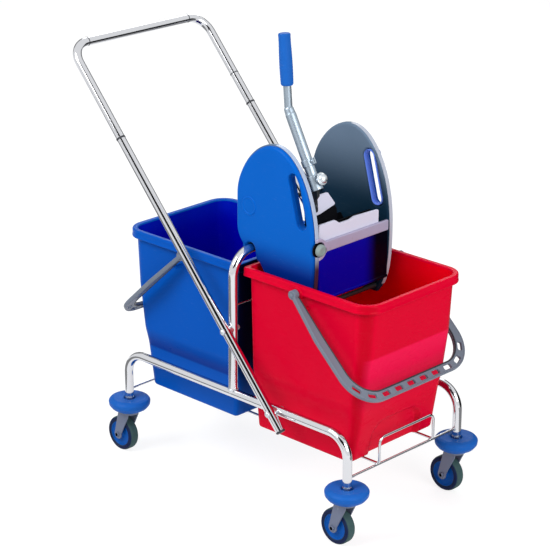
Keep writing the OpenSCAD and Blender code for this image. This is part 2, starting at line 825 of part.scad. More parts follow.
module moving_jaw() {
    pad_x = (spring_face - spring_leg * sin(jaw_lean)) / cos(jaw_lean);
    rows = 5;
    columns = 7;
    pitch = 24;
    color("white") at_jaw() difference() {
        union() {
            translate([-jaw_t / 2, 0, 0]) rotate([90, 0, 90]) linear_extrude(jaw_t) polygon([
                [-jaw_y, 0], [-spring_gap_y, 0], [-spring_gap_y, 18], [spring_gap_y, 18], [spring_gap_y, 0],
                [jaw_y, 0], [jaw_y, jaw_h], [-5, jaw_h], [-5, ear_h - 38], [-31, ear_h], [-jaw_y, ear_h]]);
            for (side = sides) bar([0, side * spring_gap_y, 0], [0, side * jaw_y, 0], knuckle_r);
            translate([-pad_x, -14, 18]) cube([pad_x, 28, 16]);
        }
        bar([0, -chamber_y, 0], [0, chamber_y, 0], shaft_r + fit);
        for (i = [0:columns - 1], k = [0:rows - 1])
            translate([-jaw_t, (i - (columns - 1) / 2) * pitch, 36 + k * pitch])
                rotate([0, 90, 0]) cylinder(d = drain_d, h = 2 * jaw_t);
    }
}

// Return spring: one wire wound round the shaft, with a straight leg at each end
spring_steps = 8;
spring_sides = 6;

function curl_angle(i) = 180 + 360 * i / spring_steps;
function curl_at(i) = let (a = curl_angle(i))
    [shaft_x + spring_r * cos(a), (i / spring_steps - spring_turns / 2) * spring_pitch, shaft_z + spring_r * sin(a)];
function curl_way(i) = let (a = curl_angle(i))
    unit([-spring_r * sin(a), spring_pitch / (2 * PI), spring_r * cos(a)]);
function ring_at(c, i) = let (a = curl_angle(i), e = [cos(a), 0, sin(a)], f = cross(curl_way(i), e))
    [for (k = [0:spring_sides - 1]) let (b = 360 * k / spring_sides)
        c + spring_wire / 2 * (cos(b) * e + sin(b) * f)];

module return_spring() {
    last = spring_turns * spring_steps;
    rings = concat(
        [ring_at(curl_at(0) - spring_leg * curl_way(0), 0)],
        [for (i = [0:last]) ring_at(curl_at(i), i)],
        [ring_at(curl_at(last) + spring_leg * curl_way(last), last)]);
    count = len(rings);
    n = spring_sides;
    points = [for (ring = rings) each ring];
    walls = [for (j = [0:count - 2], k = [0:n - 1]) let (m = (k + 1) % n)
        each [[j * n + k, (j + 1) * n + m, j * n + m], [j * n + k, (j + 1) * n + k, (j + 1) * n + m]]];
    first_end = [for (k = [1:n - 2]) [0, k, k + 1]];
    last_end = [for (k = [1:n - 2]) let (b = (count - 1) * n) [b, b + k + 1, b + k]];
    least = min([for (i = [0:last - spring_steps]) norm(curl_at(i + spring_steps) - curl_at(i))]) - spring_wire;
    echo(least_gap_of_spring = least);
    color("gray") polyhedron(points, concat(walls, first_end, last_end));
}

// Lever, drawn up from its foot
module at_lever() {
    translate(lever_foot) rotate([0, -lever_lean, 0]) children();
}

module at_lever_top() {
    at_lever() translate([0, 0, lever_low_l]) rotate([0, lever_bend, 0]) children();
}

module lever_bracket() {
    foot_t = 5;
    color("darkslategray") difference() {
        union() {
            at_jaw() translate([jaw_t / 2, lever_y - 11, ear_h - 32]) cube([foot_t, 36, 28]);
            slab(lever_y - 4, lever_y + 4) polygon([
                [shaft_x - 16, shaft_z + 188], [shaft_x - 15, shaft_z + 210], [lever_foot[0] - 12, lever_foot[2] + 8],
                [lever_foot[0] + 10, lever_foot[2] + 10], [lever_foot[0] + 5, lever_foot[2] - 16]]);
            at_lever() translate([0, 0, -4]) cylinder(r = socket_r, h = 32);
        }
        at_lever() cylinder(r = lever_r + fit, h = lever_low_l);
        at_jaw() translate([-2 * jaw_t, -chamber_y, 0]) cube([2.5 * jaw_t, 2 * chamber_y, ear_h + over]);
        at_lever() bar([-2 * socket_r, 0, 15], [2 * socket_r, 0, 15], bolt_d / 2 + fit);
    }
}

module lever_tube() {
    wall = 2;
    plug = 30;
    shoulder = 12;
    root = 8;
    color("lightgray") difference() {
        union() {
            at_lever() cylinder(r = lever_r, h = lever_low_l - shoulder);
            at_lever() translate([0, 0, lever_low_l - shoulder])
                cylinder(r1 = lever_r, r2 = lever_top_r + 1.5, h = shoulder);
            at_lever_top() translate([0, 0, -root]) cylinder(r = lever_top_r, h = root + lever_top_l - 6);
        }
        at_lever() translate([0, 0, -over]) cylinder(r = lever_r - wall, h = lever_low_l - plug + over);
        at_lever() bar([-2 * lever_r, 0, 15], [2 * lever_r, 0, 15], bolt_d / 2 + fit);
    }
}

module lever_collar() {
    color("lightgray") at_lever() translate([0, 0, 48]) difference() {
        union() {
            cylinder(r = socket_r, h = 15);
            translate([0, -4, 0]) cube([socket_r + 7, 8, 15]);
        }
        translate([0, 0, -over]) cylinder(r = lever_r + fit, h = 15 + 2 * over);
    }
}

module lever_grip() {
    r = grip_d / 2;
    ribs = 9;
    rib = (grip_l - 24) / ribs;
    color("royalblue") at_lever_top() translate([0, 0, lever_top_l - grip_l]) difference() {
        rotate_extrude() polygon(concat(
            [[0, 0], [r - 3, 0], [r, 3], [r, 10]],
            [for (i = [0:ribs - 1]) each [[r, 10 + rib * i], [r - 1, 10 + rib * (i + 0.25)],
                                          [r - 1, 10 + rib * (i + 0.5)], [r, 10 + rib * (i + 0.75)]]],
            arc([r - 8, grip_l - 8], 8, 0, 90, 6), [[0, grip_l]]));
        translate([0, 0, -over]) cylinder(r = lever_top_r + fit, h = grip_l - 6 + over);
    }
}

// Bolt through the socket and the lever foot, with a domed nut to the front
module lever_bolt() {
    washer_r = 12.5;
    washer_t = 2;
    sleeve = 9;
    color("silver") at_lever() translate([0, 0, 15]) rotate([0, 90, 0]) {
        translate([0, 0, -socket_r - 4]) cylinder(d = bolt_d, h = 2 * socket_r + 4);
        translate([0, 0, -socket_r - 4]) cylinder(d = 1.8 * bolt_d, h = 4, $fn = 6);
        translate([0, 0, socket_r]) cylinder(r = bolt_d, h = sleeve);
        translate([0, 0, socket_r + sleeve]) cylinder(r = washer_r, h = washer_t);
        translate([0, 0, socket_r + sleeve + washer_t]) dome(9, 9);
    }
}

side_rail(-1);  // side_rail_near
side_rail(1);  // side_rail_far
centre_hoop();
hoop_wire();
cross_rod(1);  // front_cross_rod
cross_rod(-1);  // rear_cross_rod
rack_half(1);  // rack_front
rack_half(-1);  // rack_rear
rack_ties();
handle_tube(-1);  // handle_tube_near
handle_tube(1);  // handle_tube_far
handle_bow();
handle_ferrules();
handle_bolts();
handle_saddles();
handle_end_caps();
caster_stems();
bumper(1, -1);  // bumper_front_near
bumper(1, 1);  // bumper_front_far
bumper(-1, -1);  // bumper_rear_near
bumper(-1, 1);  // bumper_rear_far
fork(1, -1);  // fork_front_near
fork(1, 1);  // fork_front_far
fork(-1, -1);  // fork_rear_near
fork(-1, 1);  // fork_rear_far
axle(1, -1);  // axle_front_near
axle(1, 1);  // axle_front_far
axle(-1, -1);  // axle_rear_near
axle(-1, 1);  // axle_rear_far
hub(1, -1);  // hub_front_near
hub(1, 1);  // hub_front_far
hub(-1, -1);  // hub_rear_near
hub(-1, 1);  // hub_rear_far
tyre(1, -1);  // tyre_front_near
tyre(1, 1);  // tyre_front_far
tyre(-1, -1);  // tyre_rear_near
tyre(-1, 1);  // tyre_rear_far
blue_bucket();
red_bucket();
blue_bail();
red_bail();
near_cover();
far_cover();
near_liner();
far_liner();
front_apron();
front_panel();
front_bar();
bar_knob();
rear_jaw();
tie_rods();
hinge_shaft();
return_spring();
moving_jaw();
lever_bracket();
lever_tube();
lever_collar();
lever_grip();
lever_bolt();
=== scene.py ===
# %% [markdown]
# # Double mop bucket trolley
# A chromed tube frame carries a red and a blue bucket, a push handle and a lever wringer.
# The CAD part gives every size and every joint. Here each piece gets the soft edges, bends and finishes
# that the real one has. Lengths are in millimetres, as in a workshop drawing, and turn into Blender's
# metres only where a mesh is made.

# %% The frame and its sizes
import math

import bmesh
import bpy
from mathutils import Matrix, Vector
from mathutils.geometry import tessellate_polygon


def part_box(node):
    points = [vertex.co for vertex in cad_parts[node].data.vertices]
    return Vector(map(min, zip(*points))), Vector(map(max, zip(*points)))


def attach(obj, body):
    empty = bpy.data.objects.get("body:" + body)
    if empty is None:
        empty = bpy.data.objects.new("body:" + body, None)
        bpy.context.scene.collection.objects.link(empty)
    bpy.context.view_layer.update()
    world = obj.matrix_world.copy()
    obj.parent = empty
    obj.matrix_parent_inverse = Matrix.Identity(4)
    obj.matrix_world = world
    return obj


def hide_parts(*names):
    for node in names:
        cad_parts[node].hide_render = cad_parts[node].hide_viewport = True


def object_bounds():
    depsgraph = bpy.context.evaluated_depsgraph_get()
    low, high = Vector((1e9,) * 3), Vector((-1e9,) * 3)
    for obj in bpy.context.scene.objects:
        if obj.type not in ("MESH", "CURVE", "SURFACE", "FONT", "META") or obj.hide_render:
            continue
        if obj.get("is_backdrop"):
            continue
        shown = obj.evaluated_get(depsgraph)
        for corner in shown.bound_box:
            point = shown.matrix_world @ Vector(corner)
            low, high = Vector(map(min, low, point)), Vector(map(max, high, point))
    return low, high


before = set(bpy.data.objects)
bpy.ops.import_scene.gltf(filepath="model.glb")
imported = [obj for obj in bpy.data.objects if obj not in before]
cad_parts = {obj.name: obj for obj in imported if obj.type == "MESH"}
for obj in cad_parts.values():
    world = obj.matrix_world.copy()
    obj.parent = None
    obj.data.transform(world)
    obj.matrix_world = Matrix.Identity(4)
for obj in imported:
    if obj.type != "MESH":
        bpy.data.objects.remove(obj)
cad_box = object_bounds()
MM = 0.001
SIDES = (-1, 1)
NEAR_FAR = (("near", -1), ("far", 1))
FRONT_REAR = (("front", 1), ("rear", -1))
CORNERS = [(f"{end}_{side}", x, y) for end, x in FRONT_REAR for side, y in NEAR_FAR]


def box_mm(node):
    """Lowest and highest corner of a CAD node."""
    low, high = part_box(node)
    return low / MM, high / MM


def middle(node):
    """Centre of a CAD node."""
    low, high = box_mm(node)
    return (low + high) / 2


rail_low, rail_high = box_mm("side_rail_far")
tube_r = (rail_high.y - rail_low.y) / 2
rail_y = (rail_high.y + rail_low.y) / 2
stem_x = rail_high.x - tube_r
leg_z = rail_low.z
rail_z = rail_high.z - tube_r
hoop_z = box_mm("centre_hoop")[1].z - tube_r
print("tube radius", round(tube_r, 2), "rail height", round(rail_z, 1), "hoop height", round(hoop_z, 1))

# %% [markdown]
# ## Outlines
# Most pieces start as a flat line: a bent wire, half of a turned disc or the edge of a plate. Measured
# points could be typed in, but nobody can read a bend out of them. So small functions draw the lines, and
# each is defined where it is first needed. The first ones make arcs and move a loop towards its inside.

# %% Arcs and insets


def swing(stop, steps):
    """Sines and cosines of the angles from 0 to stop, in radians."""
    angles = [stop * i / steps for i in range(steps + 1)]
    return [(math.sin(a), math.cos(a)) for a in angles]


def arc(centre, radius, start, stop, steps):
    """Points on a circle, between two angles in degrees."""
    angles = [math.radians(start + (stop - start) * i / steps) for i in range(steps + 1)]
    return [Vector((centre[0] + radius * math.cos(a), centre[1] + radius * math.sin(a))) for a in angles]


def signed_area(loop):
    """The area inside a loop, positive if the loop runs anticlockwise."""
    return sum(a.x * b.y - b.x * a.y for a, b in zip(loop, loop[1:] + loop[:1])) / 2


def inset(loop, distance):
    """The loop moved towards its own inside."""
    turn = 1 if signed_area(loop) > 0 else -1
    moved = []
    for before, here, after in zip(loop[-1:] + loop[:-1], loop, loop[1:] + loop[:1]):
        u = (here - before).normalized()
        v = (after - here).normalized()
        first = turn * Vector((-u.y, u.x))
        second = turn * Vector((-v.y, v.x))
        moved.append(here + distance * (first + second) / max(0.5, 1 + first.dot(second)))
    return moved


print("outline helpers ready")

# %% [markdown]
# ## Shells
# A `Shape` gathers shells and turns them into one piece. Four ways of making a shell cover the whole
# trolley: turning a profile, sweeping a circle along a line, cutting a plate with soft edges, and lofting
# between rings. Blender's Screw, Skin and Bevel modifiers do similar things. Rings of points are chosen
# here because each has a known size, so a piece keeps to the CAD part's measures. A point on the axis of a
# turned piece is a very small ring, so that every ring has the same number of points, and points closer
# than a hair are knit together at the end.

# %% Placing shapes


def along(origin, direction):
    """Places a shape so that its own z axis runs from origin along direction."""
    turn = Vector((0, 0, 1)).rotation_difference(Vector(direction))
    return Matrix.Translation(Vector(origin)) @ turn.to_matrix().to_4x4()


def plate_xz(y):
    """Places a plate drawn in x and z, so that its thickness runs from y towards +Y."""
    turn = Matrix(((1, 0, 0), (0, 0, 1), (0, 1, 0)))
    return Matrix.Translation((0, y, 0)) @ turn.to_4x4()


def plate_yz(x):
    """Places a plate drawn in y and z, so that its thickness runs from x towards +X."""
    turn = Matrix(((0, 0, 1), (1, 0, 0), (0, 1, 0)))
    return Matrix.Translation((x, 0, 0)) @ turn.to_4x4()


def directions(line):
    """The way a line runs at each of its points."""
    ways = [(b - a).normalized() for a, b in zip(line, line[1:])]
    return [ways[0]] + [(a + b).normalized() for a, b in zip(ways, ways[1:])] + [ways[-1]]


print("placing helpers ready")

# %% The shape builder
UPRIGHT = Matrix.Identity(4)
AXIS_R = 0.01
KNIT = 0.002


class Shape:
    """Shells, in millimetres, that become one piece."""

    def __init__(self):
        self.verts = []
        self.faces = []

    def add(self, verts, faces, place=UPRIGHT):
        first = len(self.verts)
        self.verts += [place @ Vector(v).to_3d() for v in verts]
        self.faces += [tuple(first + i for i in f) for f in faces]
        return self

    def rings(self, rings, place=UPRIGHT, caps=(True, True), joined=False):
        """Lofts rings of equal length, with a cap at either end or the last joined to the first."""
        n = len(rings[0])
        verts = [v for ring in rings for v in ring]
        pairs = list(zip(range(len(rings)), range(1, len(rings))))
        if joined:
            pairs.append((len(rings) - 1, 0))
        faces = [(a * n + k, a * n + (k + 1) % n, b * n + (k + 1) % n, b * n + k)
                 for a, b in pairs for k in range(n)]
        if caps[0] and not joined:
            faces.append(tuple(range(n))[::-1])
        if caps[1] and not joined:
            faces.append(tuple(range(len(verts) - n, len(verts))))
        return self.add(verts, faces, place)

    def lathe(self, profile, place=UPRIGHT, sides=64, joined=False):
        """Turns (radius, height) points round the local z axis."""
        angles = [2 * math.pi * k / sides for k in range(sides)]
        profile = [(max(r, AXIS_R), h) for r, h in profile]
        rings = [[(r * math.cos(a), r * math.sin(a), h) for a in angles] for r, h in profile]
        return self.rings(rings, place, joined=joined)

    def sweep(self, line, radius, sides=28, place=UPRIGHT):
        """Runs a circle along a line. A list of radii gives a rod that swells and thins."""
        line = [Vector(p) for p in line]
        radii = radius if isinstance(radius, list) else [radius] * len(line)
        ways = directions(line)
        side = ways[0].orthogonal().normalized()
        angles = [2 * math.pi * k / sides for k in range(sides)]
        rings = []
        for p, way, r in zip(line, ways, radii):
            side = (side - side.dot(way) * way).normalized()
            other = way.cross(side)
            rings.append([p + r * (math.cos(a) * side + math.sin(a) * other) for a in angles])
        return self.rings(rings, place)

    def slab(self, outline, depth, low_edge, high_edge, holes=(), place=UPRIGHT, steps=4,
             hole_edge=None):
        """A plate with round edges, drawn in x and y, that stands on z = 0."""
        loops = [(outline, 1, high_edge)]
        loops += [(hole, -1, high_edge if hole_edge is None else hole_edge) for hole in holes]
        turns = swing(math.pi / 2, steps)
        flat = [[], []]
        for loop, sign, top_edge in loops:
            loop = [Vector(p) for p in loop]
            levels = [(low_edge * (1 - s), low_edge * (1 - c)) for s, c in turns]
            levels += [(top_edge * (1 - s), depth - top_edge * (1 - c)) for s, c in reversed(turns)]
            rings = [[Vector((p.x, p.y, h)) for p in inset(loop, sign * d)] for d, h in levels]
            self.rings(rings, place, (False, False))
            flat[0].append(rings[0])
            flat[1].append(rings[-1])
        for rings in flat:
            self.add([v for ring in rings for v in ring], tessellate_polygon(rings), place)
        return self

    def piece(self, name, material, body, slot, *stands_for, sharp=38, weighted=False):
        """Makes the object, gives it its finish and lets it ride on its body."""
        mesh = bpy.data.meshes.new(name)
        mesh.from_pydata([MM * v for v in self.verts], [], self.faces)
        knit = bmesh.new()
        knit.from_mesh(mesh)
        bmesh.ops.remove_doubles(knit, verts=knit.verts, dist=KNIT * MM)
        bmesh.ops.recalc_face_normals(knit, faces=knit.faces)
        knit.to_mesh(mesh)
        knit.free()
        mesh.shade_smooth()
        mesh.set_sharp_from_angle(angle=math.radians(sharp))
        mesh.materials.append(material)
        obj = bpy.data.objects.new(name, mesh)
        bpy.context.scene.collection.objects.link(obj)
        if weighted:
            obj.modifiers.new("flat faces", "WEIGHTED_NORMAL").keep_sharp = True
        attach(obj, body)
        if stands_for:
            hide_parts(*stands_for)
        return obj


print("shape builder ready")

# %% [markdown]
# ## Shader maths
# A finish is a small sum: a base tone plus a little noise here and there. Its nodes could be added and
# linked one at a time, which hides the sum in a long list. Instead `Wire` wraps a socket, so that the sum
# can be written as Python, and `Desk.node` adds any other node with its settings and inputs.

# %% Wires


class Wire:
    """The output of a node, as a term in a sum."""

    def __init__(self, desk, out):
        self.desk = desk
        self.out = out

    def sum(self, operation, *terms):
        return self.desk.node("ShaderNodeMath", {"operation": operation}, dict(enumerate(terms)))

    def __add__(self, other):
        return self.sum("ADD", self, other)

    def __sub__(self, other):
        return self.sum("SUBTRACT", self, other)

    def __rsub__(self, other):
        return self.sum("SUBTRACT", other, self)

    def __mul__(self, other):
        return self.sum("MULTIPLY", self, other)

    def clamped(self, low, high):
        return self.desk.node("ShaderNodeClamp", {}, {"Value": self, "Min": low, "Max": high})

    def step(self, low, high):
        """0 below low, 1 above high, smooth between."""
        return self.desk.node("ShaderNodeMapRange", {"interpolation_type": "SMOOTHSTEP"},
                              {"Value": self, "From Min": low, "From Max": high})

    __radd__ = __add__
    __rmul__ = __mul__


print("wires ready")

# %% Desks


class Desk:
    """A material, or the world, and the nodes that make its look."""

    def __init__(self, owner):
        self.owner = owner
        owner.use_nodes = True
        self.tree = owner.node_tree

    def node(self, kind, settings=None, inputs=None, out=0):
        made = self.tree.nodes.new(kind)
        for key, value in (settings or {}).items():
            setattr(made, key, value)
        for key, value in (inputs or {}).items():
            self.feed(made.inputs[key], value)
        return Wire(self, made.outputs[out])

    def feed(self, socket, value):
        if isinstance(value, Wire):
            self.tree.links.new(value.out, socket)
        else:
            socket.default_value = value

    def place(self):
        """Where on its own piece a point lies, in metres."""
        return self.node("ShaderNodeTexCoord", out="Object")

    def axis(self, name):
        return self.node("ShaderNodeSeparateXYZ", {}, {0: self.place()}, out=name)

    def facing(self, name):
        """How squarely the surface looks along an axis of its own piece, from 0 to 1."""
        way = self.node("ShaderNodeTexCoord", out="Normal")
        part = self.node("ShaderNodeSeparateXYZ", {}, {0: way}, out=name)
        return part.sum("ABSOLUTE", part)

    def noise(self, scale, detail=3.0, stretch=(1, 1, 1), distort=0.0):
        where = self.node("ShaderNodeMapping", {}, {"Vector": self.place(), "Scale": stretch})
        return self.node("ShaderNodeTexNoise", {},
                         {"Vector": where, "Scale": scale, "Detail": detail, "Distortion": distort})

    def mix(self, share, low, high):
        """One colour, giving way to another by a share."""
        return self.node("ShaderNodeMix", {"data_type": "RGBA"}, {0: share, 6: low, 7: high}, out=2)

    def bump(self, height, strength, distance):
        return self.node("ShaderNodeBump", {},
                         {"Height": height, "Strength": strength, "Distance": distance * MM})

    def finish(self, **inputs):
        """Sets the inputs of a material's own shader and gives the material back."""
        shader = self.tree.nodes["Principled BSDF"]
        for key, value in inputs.items():
            self.feed(shader.inputs[key.replace("_", " ")], value)
        return self.owner


print("desks ready")

# %% Colours


def paint(red, green, blue):
    """A colour as it is read off a screen, 0 to 255, made linear for the shader."""
    def linear(c):
        c /= 255
        return c / 12.92 if c <= 0.04045 else ((c + 0.055) / 1.055) ** 2.4
    return (linear(red), linear(green), linear(blue), 1.0)


def tint(colour, factor):
    """A colour made lighter or darker."""
    return tuple(min(1.0, c * factor) for c in colour[:3]) + (1.0,)


print("colours ready")

# %% [markdown]
# ## Finishes
# Moulded plastic is even in colour, but light shows the slow waves of the melt, a fine pebble and the
# dull streaks of use. One flat colour would look drawn, so all the plastics share a recipe with their own
# tone, gloss and grain. Scuffs run sideways, because a bucket is dragged and stacked. Walls that stand
# close together, or turn away at a corner, get painted shade, and a crease gets a painted sheen below
# it: a recipe takes layers for that, each of which lays a second colour over the first along an axis, in
# a band or by the way that the wall looks. Gradients of painted shade are layers of the same kind.

# %% Layers of colour
SQUARE_ON = (0.6, 0.9)


def shade_fade(axis, start, stop, colour):
    """A layer of painted shade, which gives way to another colour along an axis."""
    def layer(desk, tone):
        return desk.mix(desk.axis(axis).step(start * MM, stop * MM), tone, colour)
    return layer


def band(edge, end, colour, share, way):
    """A layer of painted light, pale or dark, that is sharp at one height and fades out at another, on
    walls that look along an axis.
    """
    past = 6 if edge > end else -6

    def layer(desk, tone):
        height = desk.axis("Z")
        shade = height.step(end * MM, edge * MM) * height.step((edge + past) * MM, edge * MM)
        return desk.mix(shade * desk.facing(way).step(*SQUARE_ON) * share, tone, colour)
    return layer


def dusk(start, stop, colour):
    """A layer for an end wall close to its neighbour, where little light comes, least of all high up."""
    foot, height = 180, 320

    def layer(desk, tone):
        close = desk.axis("X").step(start * MM, stop * MM) * desk.facing("X").step(*SQUARE_ON)
        return desk.mix(close * desk.axis("Z").step(foot * MM, height * MM), tone, colour)
    return layer


def corners(colour, share):
    """A layer for the round upright corners, where neither lamp falls squarely."""
    def layer(desk, tone):
        turned = desk.facing("X") * desk.facing("Y") * 2
        return desk.mix(turned.step(0.3, 1.0) * share, tone, colour)
    return layer


print("layers ready")

# %% Recipe for moulded plastics
SCUFFED = paint(205, 208, 214)


def moulded(name, colour, gloss, *layers, pebble=0.10, wear=0.3, lustre=0.06):
    """Plastic of one colour, with its layers, a pebbled skin and scuffs."""
    desk = Desk(bpy.data.materials.new(name))
    melt = desk.noise(5.0, 2.0, stretch=(1, 1, 0.5))
    haze = desk.noise(23.0, 4.0, stretch=(1, 1, 2.2), distort=0.6)
    grain = desk.noise(1500.0, 2.0)
    rub = desk.noise(60.0, 6.0, stretch=(1, 1, 7)).step(0.60, 0.78) * wear
    tone = desk.mix(melt, tint(colour, 0.90), tint(colour, 1.07))
    for layer in layers:
        tone = layer(desk, tone)
    worn = desk.mix(rub * 0.07, tone, SCUFFED)
    rough = (haze - 0.5) * 0.12 + rub * 0.18 + gloss
    relief = grain * 0.6 + haze * 0.4
    return desk.finish(Base_Color=worn, Roughness=rough.clamped(0.05, 0.95), Specular_IOR_Level=lustre,
                       Normal=desk.bump(relief, pebble, 0.4))


print("recipe for plastics ready")

# %% The plastics of this trolley
# Painted shade on the blue bucket: a dark band on its sides above the rails, and a darker inner end next to
# the red bucket.
bucket_blue = moulded("bucket blue", paint(0, 82, 180), 0.30,
                      band(262, 306, paint(0, 34, 126), 0.7, "Y"), dusk(-70, -40, paint(0, 8, 40)))
# Painted light on the red bucket: a pale pink sheen below the crease of its end walls, and painted shade on
# its round upright corners.
bucket_red = moulded("bucket red", paint(213, 0, 43), 0.28, band(402, 250, paint(250, 28, 90), 0.55, "X"),
                     corners(paint(160, 0, 10), 0.5), wear=0.2, lustre=0.04)
# The insides are lit and shaded copies of the buckets' plastic: painted shade makes the blue inside darker
# and deeper towards the floor, and painted light makes the red inside brighter, with a deeper red towards
# the floor.
painted_shade_inside_blue = moulded("inside blue", paint(0, 24, 190), 0.36, shade_fade("Z", 524, 470, paint(0, 0, 178)))
painted_light_inside_red = moulded("inside red", paint(252, 0, 28), 0.36, shade_fade("Z", 524, 430, paint(250, 0, 2)))
# Painted shade: the cover darkens towards its foot.
cover_blue = moulded("cover blue", paint(0, 92, 188), 0.36, shade_fade("Z", 600, 528, paint(0, 38, 128)),
                     pebble=0.16)
hub_blue = moulded("hub blue", paint(4, 80, 164), 0.38, pebble=0.14, wear=0.6)
# Painted light: the far slot collar is a paler blue than the near one, which takes the cover's blue.
far_collar_painted_light = moulded("collar blue", paint(100, 134, 230), 0.34)
trim_blue = moulded("trim blue", paint(28, 94, 180), 0.40, pebble=0.14, wear=0.8)
bail_grey = moulded("bail grey", paint(112, 120, 134), 0.38, pebble=0.16, lustre=0.2)
# Painted shade: the liner darkens towards its foot.
liner_grey = moulded("liner grey", paint(104, 124, 146), 0.44, shade_fade("Z", 790, 630, paint(18, 46, 66)),
                     pebble=0.18)
edge_grey = moulded("edge grey", paint(180, 186, 200), 0.36, lustre=0.2)
# Painted shade: the near trim is a shaded copy of the far one, and darkens towards its foot.
near_edge_painted_shade = moulded("edge dim", paint(172, 184, 206), 0.36, shade_fade("Z", 596, 556, paint(62, 34, 52)),
                   lustre=0.2)
# Painted shade: the apron goes almost black towards the far shoulder.
apron_navy = moulded("apron navy", paint(0, 0, 152), 0.40, shade_fade("Y", 30, 74, paint(0, 0, 12)))
plate_white = moulded("plate white", paint(214, 214, 232), 0.36, wear=0.9)
# Painted shade: the two jaws are white plates like the ear, painted near black for the shade between the
# shoulders. The knob's washer has the same dark finish as its own colour.
dark_washer_and_jaw_shade = moulded("jaw dark", paint(9, 10, 14), 0.44)
knob_grey = moulded("knob grey", paint(134, 150, 148), 0.34, lustre=0.3)
# Dark joints of the handle, and painted shade on the bails' inner beads.
dark_joint_and_bead_shade = moulded("joint dark", paint(46, 48, 54), 0.45, lustre=0.3)
print("moulded plastics ready")

# %% [markdown]
# Chrome plate is a mirror with faint polish lines and a few dull spots. An even mirror would look too
# perfect, so clouds of haze change its roughness a little. Zinc plate is the same recipe with more haze.
# Painted metal sits between metal and plastic, and shows bright chips. A tyre is dark at its sides and
# dusty where it rolls, and the direction that the surface looks in tells the two apart.

# %% Recipes for plate, paint and rubber
CHIPPED = paint(168, 170, 174)
DRAWN = (6, 6, 0.4)


def plated(name, colour, gloss, haze_depth, lines=0.02, stretch=(1, 1, 1), relief=0.006):
    """Bright metal with polish lines, clouds and dull spots."""
    desk = Desk(bpy.data.materials.new(name))
    cloud = desk.noise(9.0, 3.0)
    polish = desk.noise(260.0, 3.0, stretch=stretch)
    spots = desk.noise(170.0, 5.0).step(0.66, 0.80)
    tone = desk.mix(cloud, tint(colour, 0.95), colour)
    dulled = desk.mix(spots * 0.12, tone, tint(colour, 0.72))
    rough = cloud * haze_depth + spots * 0.06 + polish * lines + gloss
    return desk.finish(Base_Color=dulled, Roughness=rough.clamped(0.02, 0.9), Metallic=1.0,
                       Normal=desk.bump(polish, relief, 0.2))


def lacquered(name, colour, gloss):
    """Painted metal with a fine orange peel and chips."""
    desk = Desk(bpy.data.materials.new(name))
    peel = desk.noise(420.0, 3.0)
    cloud = desk.noise(14.0, 4.0)
    chips = desk.noise(95.0, 6.0).step(0.67, 0.74)
    tone = desk.mix(cloud, tint(colour, 0.86), tint(colour, 1.08))
    chipped = desk.mix(chips * 0.5, tone, CHIPPED)
    return desk.finish(Base_Color=chipped, Roughness=(cloud * 0.16 + gloss).clamped(0.1, 0.9),
                       Metallic=chips * 0.6 + 0.25, Normal=desk.bump(peel, 0.10, 0.4))


def rubbery(name, colour, tread):
    """A dark side wall and a paler, dusty tread."""
    desk = Desk(bpy.data.materials.new(name))
    dust = desk.noise(46.0, 6.0).step(0.45, 0.75)
    grain = desk.noise(1100.0, 3.0)
    rolls = desk.facing("Y").step(0.85, 0.45)
    tone = desk.mix(rolls * 0.85 + dust * 0.12, colour, tread)
    rough = (dust * 0.2 + 0.62).clamped(0.3, 1.0)
    return desk.finish(Base_Color=tone, Roughness=rough, Specular_IOR_Level=0.15,
                       Normal=desk.bump(grain, 0.22, 0.5))


print("recipes for plate, paint and rubber ready")

# %% The metals, the paint and the rubber of this trolley
chrome_tube = plated("chrome tube", (0.68, 0.69, 0.72, 1.0), gloss=0.05, haze_depth=0.05,
                     relief=0.001)
chrome_wire = plated("chrome wire", (0.62, 0.63, 0.66, 1.0), gloss=0.07, haze_depth=0.08)
zinc = plated("zinc", (0.60, 0.65, 0.69, 1.0), gloss=0.24, haze_depth=0.16, lines=0.16, stretch=DRAWN)
lever_zinc = plated("lever zinc", (0.35, 0.42, 0.49, 1.0), gloss=0.30, haze_depth=0.14, lines=0.12,
                    stretch=DRAWN)
bar_silver = lacquered("bar silver", paint(180, 174, 202), gloss=0.34)
fork_grey = lacquered("fork grey", paint(104, 112, 134), gloss=0.42)
bracket_dark = lacquered("bracket dark", paint(38, 42, 46), gloss=0.38)
tyre_rubber = rubbery("tyre rubber", paint(8, 22, 64), paint(62, 88, 86))
print("metals, paint and rubber ready")

# %% [markdown]
# ## The tube frame
# One tube bender makes both side rails, the centre hoop and the push handle. A bevelled curve object could
# be used, but its bends are only close to round. A circle swept along arcs gives each bend the true round
# of the bender, which matters in chrome: a mirror shows every flat. Round each foot of the hoop runs a weld
# bead, a thin rod that swells and thins as it goes.

# %% Side rails and centre hoop
RAIL_BEND = 50
HOOP_BEND = 52
TUBE_SIDES = 40
FRAME = "trolley_frame"


def bent_round(points, radius, steps=14):
    """A line in space whose inner corners are true arcs, as a tube bender leaves them."""
    points = [Vector(p) for p in points]
    line = [points[0]]
    for a, p, b in zip(points, points[1:], points[2:]):
        u = (p - a).normalized()
        v = (b - p).normalized()
        turn = u.angle(v)
        start = p - radius * math.tan(turn / 2) * u
        centre = start + radius * (v - u.dot(v) * u).normalized()
        axis = u.cross(v).normalized()
        for i in range(steps + 1):
            line.append(centre + Matrix.Rotation(turn * i / steps, 3, axis) @ (start - centre))
    line.append(points[-1])
    return line


def chrome(line, name, node):
    """A bent frame tube."""
    Shape().sweep(line, tube_r, TUBE_SIDES).piece(name, chrome_tube, FRAME, "chrome_tube", node)


for name, side in NEAR_FAR:
    y = side * rail_y
    corners_xz = ((stem_x, leg_z), (stem_x, rail_z), (-stem_x, rail_z), (-stem_x, leg_z))
    chrome(bent_round([(x, y, z) for x, z in corners_xz], RAIL_BEND), f"rail_{name}", f"side_rail_{name}")

